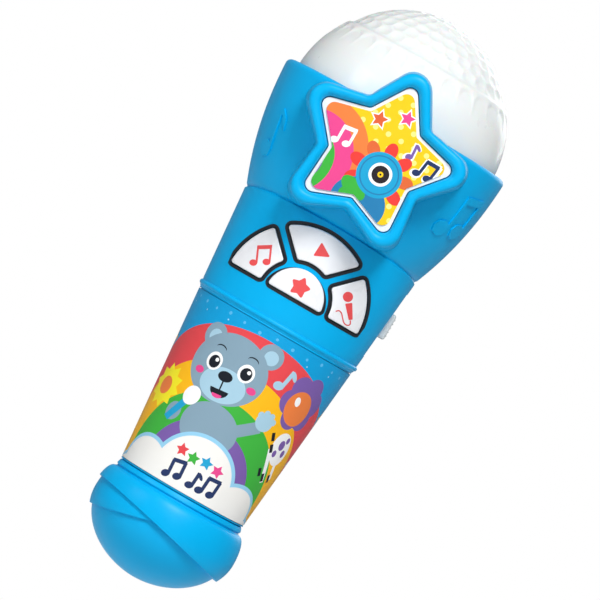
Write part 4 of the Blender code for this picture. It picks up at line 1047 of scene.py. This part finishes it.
def make_label():
    """A printed wrap on the grip, open at the back, with its unrolled place kept for the print."""
    columns, rows = 180, 24
    start_clean()
    bpy.ops.mesh.primitive_grid_add(x_subdivisions=columns, y_subdivisions=rows, size=1.0)
    label = bpy.context.object
    label.name = label.data.name = "grip_label_fine"
    unrolled = []
    for vertex in label.data.vertices:
        z = between(LABEL_LOW.z, LABEL_HIGH.z, vertex.co.y + 0.5)
        radius = grip_radius(z)
        angle = 2 * vertex.co.x * math.acos(-LABEL_HIGH.y / radius)
        vertex.co = (radius * math.sin(angle), -radius * math.cos(angle), z)
        unrolled.append((angle * radius, z))
    layer = label.data.uv_layers.active or label.data.uv_layers.new()
    layer.name = "unrolled"
    for loop in label.data.loops:
        layer.data[loop.index].uv = unrolled[loop.vertex_index]
    if label.data.polygons[0].normal.dot(label.data.polygons[0].center) < 0:
        edit_all(label)
        bpy.ops.mesh.flip_normals()
        leave_edit()
    solid = label.modifiers.new("Sheet", "SOLIDIFY")
    solid.thickness, solid.offset = 0.0005, -1.0
    bpy.ops.object.modifier_apply(modifier=solid.name)
    finished(label, "grip_label", "housing", label_print())


def dimple_depth(point):
    """How deep the dome's pattern is at a point: bowls in staggered rows above, hanging scallops below."""
    around = math.degrees(math.atan2(point.x, -point.y)) % 360
    rise = math.degrees(math.asin(min(1.0, max(-1.0, (point.z - DOME_UPPER_Z) / DOME_UPPER_R))))
    if point.z > STEP_Z + 0.0006:
        first, pitch, counts = 32.6, 7.4, (30, 30, 26, 22, 18, 12, 6, 1)
        row = int((rise - first) // pitch)
        count = counts[min(max(row, 0), 7)]
        middle = first + pitch * (row + 0.5)
        across = (around / 360 * count + 0.5 * (row % 2)) % 1.0 * 2 - 1
        along = (rise - middle) / (pitch / 2)
        bowl = 1 - (across / 0.97) ** 2 - (along / 0.97) ** 2
        return sizes().dimple * max(bowl, 0.0) ** 0.8
    across = (around / 360 * 30) % 1.0 * 2 - 1
    top = STEP_Z - 0.0046 + 0.0034 * math.sqrt(max(1 - across**2, 0.0))
    below = (top - point.z) / 0.0075
    if not 0 < below < 1 or abs(across) > 0.93:
        return 0.0
    return sizes().dimple * 1.2 * min(1.0, below * 9) * (1 - below) * (1 - across**2) ** 0.5


def make_dome():
    """A milky shell: a wide sphere, a smaller one stepped in above it, and rows of pressed dimples."""

    def side(shrink, lower_steps, upper_steps):
        low, high = DOME_LOWER_R - shrink, DOME_UPPER_R - shrink
        step = math.degrees(math.asin((STEP_Z - DOME_Z) / low))
        start = math.degrees(math.asin((STEP_Z - DOME_UPPER_Z) / high))
        points = [(low, RIM_Z - 0.0080), (low, DOME_Z - 0.0020)]
        points += arc((0, DOME_Z), low, 0, step - 1.0, lower_steps)
        rise = points[-1]
        foot = arc((0, DOME_UPPER_Z), high, start + 1.6, 90, upper_steps)
        points += [(rise[0] - 0.0005, rise[1] + 0.0005), (foot[0][0] + 0.0005, foot[0][1] - 0.0006)]
        points += foot
        points[-1] = (0.0, points[-1][1])
        return points

    dome = turned("dome_fine", side(0.0, 34, 66) + side(sizes().dome_wall, 8, 12)[::-1], 360)
    for vertex in dome.data.vertices:
        out = vertex.co - Vector((0, 0, DOME_Z))
        if out.length > DOME_LOWER_R - 0.0025 and vertex.co.z > DOME_Z + 0.005 and on_outside(vertex.co):
            vertex.co -= out.normalized() * dimple_depth(vertex.co)
    finished(dome, "dome", "housing", dome_material(), 60)


def on_outside(place):
    """True on the dome's outer skin, false on its inner one."""
    if place.z > STEP_Z:
        return (place - Vector((0, 0, DOME_UPPER_Z))).length > DOME_UPPER_R - 0.0003
    return (place - Vector((0, 0, DOME_Z))).length > DOME_LOWER_R - 0.0003


def dome_material():
    recipe = Recipe("milky_dome")
    tone = colours().dome
    # Painted shade on the top: the colour darkens by up to 3 percent in random patches, the more so the
    # higher up the dome.
    height = recipe.add("ShaderNodeSeparateXYZ", recipe.place).outputs[2]
    band = recipe.add("ShaderNodeMapRange", height, RIM_Z, DOME_HIGH.z, 0.0, 1.0).outputs[0]
    dome_tone, painted_shade_tone = full(tone), full([part * 0.97 for part in tone])
    colour = recipe.mix(recipe.math("MULTIPLY", band, recipe.noise(70.0)), dome_tone, painted_shade_tone)
    return recipe.surface(
        colour, 0.30, depth=0.000008, Subsurface_Weight=0.25, Subsurface_Scale=0.004, Coat_Weight=0.15
    )


def make_bezel():
    """A soft ridge round the star window, on a skirt that follows the collar and the dome."""
    count, front = 360, STAR_LOW.y
    size = sizes()
    outer = rounded(star_corners(size.star_point, size.star_notch, (0, STAR_Z)), [0.0068, 0.0026] * 5)
    outer, inner = evenly(outer, count), evenly(window_outline(), count)
    # Each step across the ridge: share of the way from outer to inner star, depth behind the front.
    section = [
        (-0.16, None),
        (-0.11, 0.0120),
        (-0.06, 0.0060),
        (-0.02, 0.0034),
        (0.0, 0.0022),
        (0.04, 0.0013),
    ]
    section += [(0.11, 0.0006), (0.22, 0.0002), (0.36, 0.0), (0.50, 0.0), (0.64, 0.0002), (0.77, 0.0006)]
    section += [(0.88, 0.0012), (0.96, 0.0020), (1.0, 0.0030), (1.02, 0.0044), (0.60, None)]
    start_clean()
    bpy.ops.mesh.primitive_grid_add(x_subdivisions=count, y_subdivisions=len(section), size=1.0)
    bezel = bpy.context.object
    bezel.name = bezel.data.name = "star_bezel_fine"
    for index, vertex in enumerate(bezel.data.vertices):
        row, column = divmod(index, count + 1)
        share, depth = section[row % len(section)]
        x, z = Vector(outer[column % count]).lerp(Vector(inner[column % count]), share)
        seat = seat_y(x, z)
        vertex.co = (x, seat if depth is None else min(front + depth, seat), z)
    edit_all(bezel)
    bpy.ops.mesh.remove_doubles(threshold=1e-6)
    bpy.ops.mesh.select_all(action="SELECT")
    bpy.ops.mesh.normals_make_consistent(inside=False)
    leave_edit()
    finished(bezel, "star_bezel", "housing", blue_plastic(), 45)


def seat_y(x, z):
    """Where the bezel's back stands off the body or the dome."""
    if z < RIM_Z:
        radius = body_radius(z) + 0.0004
    else:
        radius = math.sqrt(DOME_LOWER_R**2 - (z - DOME_Z) ** 2) + 0.0004
    return -math.sqrt(max(radius**2 - x * x, 0.0))


def window_outline():
    size = sizes()
    corners = star_corners(size.window_point, size.window_notch, (0, STAR_Z))
    return rounded(corners, [0.0032, 0.0014] * 5)


def make_window():
    """The white star plate and the smaller printed star on it."""
    size = sizes()
    opening = evenly(window_outline(), 300)
    plate = prism("star_window_fine", grown(opening, -0.0003), WINDOW_LOW.y, WINDOW_HIGH.y, 0.0002)
    material = mottled("white_window", colours().white, 0.28, 0.98, Coat_Weight=0.2)
    finished(plate, "star_window", "housing", material)
    corners = star_corners(size.window_point - 0.0030, size.window_notch - 0.0016, (0, STAR_Z))
    small = evenly(rounded(corners, [0.0030, 0.0012] * 5), 300)
    picture = prism("star_picture_fine", small, PICTURE_LOW.y, PICTURE_HIGH.y)
    finished(picture, "star_picture", "housing", picture_print())


def make_keys():
    """Four keys bent to the panel, their red signs, and the dark lines round them, which are painted shade of
    the gaps.
    """
    size = sizes()
    white = mottled("white_key", colours().white, 0.28, 0.975, Coat_Weight=0.15)
    red = mottled("red_icon_print", colours().icon, 0.36, 0.96)
    # Painted shade of the key gaps, in the same dark colour as the label's print.
    ink_and_gap_shade = mottled("painted_gap_shade", colours().ink_and_gap_shade, 0.40, 0.8)
    lines = []
    for name, (body, outline) in KEYS.items():
        key = sliced(prism(name + "_fine", outline(0.0), 0.0, 0.0050, size.key_round, 5), 0.0009)
        icons = [prism("icon", shape, -0.00006, 0.0010) for shape in ICONS[name]()]
        for icon in icons:
            sliced(icon, 0.0009)
            icon.data.materials.append(red)
        key.data.materials.append(white)
        key = joined([key, *icons])
        for vertex in key.data.vertices:
            vertex.co.y += front_surface(vertex.co.x, vertex.co.z, size.key_proud)
        finished(key, name, body, white, 40)
        # A dark ring just outside each key's gap: painted shade of the gap, laid as a thin sheet on the
        # panel.
        line = prism("line", outline(KEY_GAP + size.gap_shade_width), -BEYOND, -0.02)
        lines.append(combine(line, prism("inside", outline(KEY_GAP), -0.07, -0.01), "DIFFERENCE"))
    gap_shades = combine(joined(lines), body_form("line_top", 0.00012), "INTERSECT")
    combine(gap_shades, body_form("line_back", -0.00010), "DIFFERENCE")
    gap_shades.name = gap_shades.data.name = "key_gap_shade"
    finished(gap_shades, None, "housing", ink_and_gap_shade)


def leaning(points, x, z, turn, scale=0.001):
    """Points in millimetres, turned and put at a place on the key panel."""
    lean = math.radians(turn)
    return [
        (
            x + scale * (right * math.cos(lean) - up * math.sin(lean)),
            z + scale * (right * math.sin(lean) + up * math.cos(lean)),
        )
        for right, up in points
    ]


def oval(x, y, wide, tall, steps=24):
    return [(x + wide * px, y + tall * py) for px, py in arc((0, 0), 1.0, 0, 360 - 360 / steps, steps - 1)]


def play_icon():
    corners = rounded([(-2.0, -3.0), (3.6, 0.0), (-2.0, 3.0)], [0.35] * 3, 4)
    return [leaning(corners, 0.0005, FAN_Z + 0.0200, -3)]


def star_icon():
    return [leaning(rounded(star_corners(4.3, 2.5), [0.5, 0.2] * 5, 3), 0.0, FAN_Z + 0.0046, 0)]


def note_icon():
    shapes = [oval(-2.6, -3.3, 1.6, 1.3), oval(2.7, -2.5, 1.6, 1.3)]
    shapes += [
        [(-1.7, -3.2), (-0.9, -3.2), (-0.9, 3.4), (-1.7, 3.4)],
        [(3.5, -2.4), (4.3, -2.4), (4.3, 4.2), (3.5, 4.2)],
    ]
    shapes += [[(-1.7, 2.2), (4.3, 3.0), (4.3, 4.6), (-1.7, 3.8)]]
    return [leaning(shape, -0.0187, FAN_Z + 0.0076, 24, 0.00092) for shape in shapes]


def microphone_icon():
    body = [(-1.35, 1.6), (-0.75, -4.6), (0.75, -4.6), (1.35, 1.6)]
    shapes = [leaning(rounded(body, [0.3] * 4, 3), 0.0196, FAN_Z + 0.0072, 37)]
    shapes.append(leaning(oval(0, 4.0, 1.9, 1.9, 28), 0.0196, FAN_Z + 0.0072, 37))
    centre = [
        (22.4, 3.2),
        (23.0, 1.9),
        (22.2, 1.1),
        (20.8, 1.3),
        (19.4, 2.6),
        (18.2, 3.9),
        (16.9, 4.3),
        (16.0, 3.5),
    ]
    smooth = curve_through([Vector((x, up)) for x, up in centre], 6)
    for before, after in zip(smooth, smooth[1:]):
        across = Vector((-(after - before).y, (after - before).x)).normalized() * 0.22
        along = (after - before).normalized() * 0.08
        quad = [
            before - across - along,
            after - across + along,
            after + across + along,
            before + across - along,
        ]
        shapes.append([(point.x / 1000, FAN_Z + point.y / 1000) for point in quad])
    return shapes


def curve_through(points, per_span):
    """A smooth line through points, by Catmull and Rom's rule."""
    smooth = []
    for i in range(len(points) - 1):
        p0, p1, p2 = points[max(i - 1, 0)], points[i], points[i + 1]
        p3 = points[min(i + 2, len(points) - 1)]
        line, bow, twist = p2 - p0, 2 * p0 - 5 * p1 + 4 * p2 - p3, 3 * p1 - p0 - 3 * p2 + p3
        for step in range(per_span):
            t = step / per_span
            smooth.append(0.5 * (2 * p1 + line * t + bow * t**2 + twist * t**3))
    return smooth + [points[-1]]


ICONS = {"play_key": play_icon, "note_key": note_icon, "record_key": microphone_icon, "star_key": star_icon}


def make_knob():
    """A slide knob with a rounded head, finger ribs and its stem."""
    face = KNOB_HIGH.x
    knob = box("switch_knob_fine", (0.0340, KNOB_LOW.y, KNOB_LOW.z), (face, KNOB_HIGH.y, KNOB_HIGH.z), 0.0009)
    additions = [
        box(
            "stem",
            (KNOB_LOW.x, SWITCH_Y - 0.0014, SWITCH_Z - 0.0030),
            (0.0350, SWITCH_Y + 0.0014, SWITCH_Z + 0.0030),
        )
    ]
    for i in range(-2, 3):
        z = SWITCH_Z + 0.0017 * i
        low = (face - 0.0010, SWITCH_Y - 0.0026, z - 0.0004)
        high = (face + 0.0003, SWITCH_Y + 0.0026, z + 0.0004)
        additions.append(box("rib", low, high, 0.0003))
    for piece in additions:
        combine(knob, piece, "UNION")
    pale = mottled("pale_knob", colours().knob, 0.38, 0.95)
    finished(knob, "switch_knob", "power_slider", pale)


# ---------------------------------------------------------------- inner pieces keep the frame's shapes


FINISHES = {
    "white_plastic": ((0.86, 0.86, 0.86), 0.34, 0.95, {}),
    "blue_plastic": ((0.0, 0.42, 0.82), 0.32, 0.96, {}),
    "grey_rubber": ((0.30, 0.31, 0.33), 0.75, 0.82, {"grain": 900.0, "depth": 0.00004}),
    "board_green": ((0.03, 0.24, 0.09), 0.36, 0.62, {"patch": 420.0}),
    "chip_black": ((0.020, 0.020, 0.022), 0.48, 0.70, {"grain": 5200.0}),
    "led_clear": ((0.88, 0.90, 0.92), 0.10, 0.98, {"Transmission_Weight": 0.55, "Coat_Weight": 0.3}),
    "steel": ((0.60, 0.61, 0.63), 0.28, 0.82, {"Metallic": 1.0, "patch": 300.0}),
    "magnet": ((0.26, 0.26, 0.28), 0.42, 0.75, {"Metallic": 1.0, "patch": 500.0}),
    "paper_cone": ((0.045, 0.044, 0.042), 0.88, 0.60, {"grain": 700.0, "depth": 0.00006}),
    "grey_plastic": ((0.60, 0.62, 0.62), 0.40, 0.92, {}),
    "black_plastic": ((0.025, 0.025, 0.027), 0.42, 0.75, {}),
    "cell_wrap": ((0.10, 0.11, 0.13), 0.26, 0.80, {"Coat_Weight": 0.5}),
    "wire_red": ((0.62, 0.025, 0.02), 0.42, 0.88, {}),
    "wire_black": ((0.018, 0.018, 0.020), 0.42, 0.80, {}),
}


def finish_inner():
    """Every frame node that still shows takes the finish of its own material."""
    made = {}
    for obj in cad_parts.values():
        if obj.hide_render:
            continue
        for holder in obj.material_slots:
            kind = holder.material.name.split(".")[0] if holder.material else "grey_plastic"
            kind = kind if kind in FINISHES else "grey_plastic"
            if kind not in made:
                colour, rough, shade, extra = FINISHES[kind]
                made[kind] = mottled("inner_" + kind, colour, rough, shade, **extra)
            holder.material = made[kind]


# ---------------------------------------------------------------- stage


def soft_light(name, place, target, size, power):
    start_clean()
    bpy.ops.object.light_add(type="AREA", location=place)
    light = bpy.context.object
    light.name = name
    light.rotation_euler = (Vector(target) - Vector(place)).to_track_quat("-Z", "Y").to_euler()
    light.data.shape = "RECTANGLE"
    light.data.size, light.data.size_y = size
    light.data.energy = power


def make_stage():
    """A pale floor far below, four soft lights, a white backdrop and a long lens."""
    stage = bpy.context.scene.microphone_stage
    start_clean()
    floor_z = CAD_BOX[0].z - stage.floor_drop
    bpy.ops.mesh.primitive_circle_add(vertices=96, radius=3.0, fill_type="NGON", location=(0, 0, floor_z))
    floor = bpy.context.object
    floor.name = "studio_floor"
    floor.data.materials.append(mottled("pale_floor", (0.86, 0.86, 0.85), 0.7, 0.99, patch=4.0))
    middle = (0, 0, 0.05)
    soft_light("key_light", (0.10, -1.45, 1.45), middle, (0.6, 0.6), 34.0)
    soft_light("front_light", (0.30, -2.3, 0.9), middle, (1.0, 0.7), 5.0)
    soft_light("left_light", (-1.5, -1.0, 0.8), middle, (0.6, 0.6), 6.0)
    soft_light("back_light", (0.5, 1.7, 0.9), middle, (1.4, 1.2), 10.0)
    world = bpy.data.worlds.new("studio")
    world.use_nodes = True
    tree = world.node_tree
    lighting = tree.nodes["Background"]
    lighting.inputs["Color"].default_value = (0.9, 0.94, 1.0, 1.0)
    lighting.inputs["Strength"].default_value = 0.25
    shown = tree.nodes.new("ShaderNodeBackground")
    shown.inputs["Color"].default_value = (1.0, 1.0, 1.0, 1.0)
    path, mix = tree.nodes.new("ShaderNodeLightPath"), tree.nodes.new("ShaderNodeMixShader")
    tree.links.new(path.outputs["Is Camera Ray"], mix.inputs[0])
    tree.links.new(lighting.outputs[0], mix.inputs[1])
    tree.links.new(shown.outputs[0], mix.inputs[2])
    tree.links.new(mix.outputs[0], tree.nodes["World Output"].inputs["Surface"])
    bpy.context.scene.world = world
    bpy.context.scene.view_settings.view_transform = "Standard"
    eye = (0.00235, -stage.distance, 0.0494)
    bpy.ops.object.camera_add(location=eye, rotation=(math.radians(90), -stage.lean, 0))
    camera = bpy.context.object
    camera.name = "studio_camera"
    camera.data.lens, camera.data.sensor_width = stage.lens, 36.0
    camera.data.clip_start, camera.data.clip_end = 0.05, 50.0
    bpy.context.scene.camera = camera


# ---------------------------------------------------------------- operators and panel


class MICROPHONE_OT_shells(bpy.types.Operator):
    """Models the two halves of the handle and collar"""

    bl_idname = "microphone.shells"
    bl_label = "Front and rear shell"
    bl_options = {"REGISTER", "UNDO"}

    def execute(self, context):
        make_front()
        make_rear()
        return {"FINISHED"}


class MICROPHONE_OT_cap(bpy.types.Operator):
    """Models the end cap with its lapping layers"""

    bl_idname = "microphone.cap"
    bl_label = "End cap"
    bl_options = {"REGISTER", "UNDO"}

    def execute(self, context):
        make_cap()
        return {"FINISHED"}


class MICROPHONE_OT_door(bpy.types.Operator):
    """Models the battery door with its grip bars"""

    bl_idname = "microphone.door"
    bl_label = "Battery door"
    bl_options = {"REGISTER", "UNDO"}

    def execute(self, context):
        make_door()
        return {"FINISHED"}


class MICROPHONE_OT_label(bpy.types.Operator):
    """Wraps the printed label round the grip"""

    bl_idname = "microphone.label"
    bl_label = "Grip label"
    bl_options = {"REGISTER", "UNDO"}

    def execute(self, context):
        make_label()
        return {"FINISHED"}


class MICROPHONE_OT_dome(bpy.types.Operator):
    """Models the dimpled dome"""

    bl_idname = "microphone.dome"
    bl_label = "Dome"
    bl_options = {"REGISTER", "UNDO"}

    def execute(self, context):
        make_dome()
        return {"FINISHED"}


class MICROPHONE_OT_bezel(bpy.types.Operator):
    """Models the ridge round the star window"""

    bl_idname = "microphone.bezel"
    bl_label = "Star bezel"
    bl_options = {"REGISTER", "UNDO"}

    def execute(self, context):
        make_bezel()
        return {"FINISHED"}


class MICROPHONE_OT_window(bpy.types.Operator):
    """Models the star window and its printed picture"""

    bl_idname = "microphone.window"
    bl_label = "Star window"
    bl_options = {"REGISTER", "UNDO"}

    def execute(self, context):
        make_window()
        return {"FINISHED"}


class MICROPHONE_OT_keys(bpy.types.Operator):
    """Models the four keys, their red signs and the printed lines round them"""

    bl_idname = "microphone.keys"
    bl_label = "Keys"
    bl_options = {"REGISTER", "UNDO"}

    def execute(self, context):
        make_keys()
        return {"FINISHED"}


class MICROPHONE_OT_knob(bpy.types.Operator):
    """Models the slide switch's knob"""

    bl_idname = "microphone.knob"
    bl_label = "Switch knob"
    bl_options = {"REGISTER", "UNDO"}

    def execute(self, context):
        make_knob()
        return {"FINISHED"}


class MICROPHONE_OT_inner(bpy.types.Operator):
    """Gives the pieces inside their finishes"""

    bl_idname = "microphone.inner"
    bl_label = "Inner pieces"
    bl_options = {"REGISTER", "UNDO"}

    def execute(self, context):
        finish_inner()
        return {"FINISHED"}


class MICROPHONE_OT_stage(bpy.types.Operator):
    """Sets up floor, lights and camera"""

    bl_idname = "microphone.stage"
    bl_label = "Stage"
    bl_options = {"REGISTER", "UNDO"}

    def execute(self, context):
        make_stage()
        return {"FINISHED"}


STEPS = ("shells", "cap", "door", "label", "dome", "bezel", "window", "keys", "knob", "inner", "stage")
OPERATORS = (
    MICROPHONE_OT_shells,
    MICROPHONE_OT_cap,
    MICROPHONE_OT_door,
    MICROPHONE_OT_label,
    MICROPHONE_OT_dome,
    MICROPHONE_OT_bezel,
    MICROPHONE_OT_window,
    MICROPHONE_OT_keys,
    MICROPHONE_OT_knob,
    MICROPHONE_OT_inner,
    MICROPHONE_OT_stage,
)


class MICROPHONE_PT_pieces(bpy.types.Panel):
    """Lists the microphone's pieces in the order in which they are made"""

    bl_idname = "MICROPHONE_PT_pieces"
    bl_label = "Toy Microphone"
    bl_space_type = "VIEW_3D"
    bl_region_type = "UI"
    bl_category = "Toy Microphone"

    def draw(self, context):
        for step in STEPS:
            self.layout.operator("microphone." + step)
        for group in (sizes(), colours(), context.scene.microphone_stage):
            column = self.layout.column(align=True)
            for name in group.__annotations__:
                column.prop(group, name)


CLASSES = (MicrophoneSizes, MicrophoneColours, StageSizes, *OPERATORS, MICROPHONE_PT_pieces)


def register():
    for cls in CLASSES:
        bpy.utils.register_class(cls)
    bpy.types.Scene.microphone_sizes = bpy.props.PointerProperty(type=MicrophoneSizes)
    bpy.types.Scene.microphone_colours = bpy.props.PointerProperty(type=MicrophoneColours)
    bpy.types.Scene.microphone_stage = bpy.props.PointerProperty(type=StageSizes)


def unregister():
    del bpy.types.Scene.microphone_sizes
    del bpy.types.Scene.microphone_colours
    del bpy.types.Scene.microphone_stage
    for cls in reversed(CLASSES):
        bpy.utils.unregister_class(cls)


def main():
    register()
    for step in STEPS:
        getattr(bpy.ops.microphone, step)()


if __name__ == "__main__":
    main()
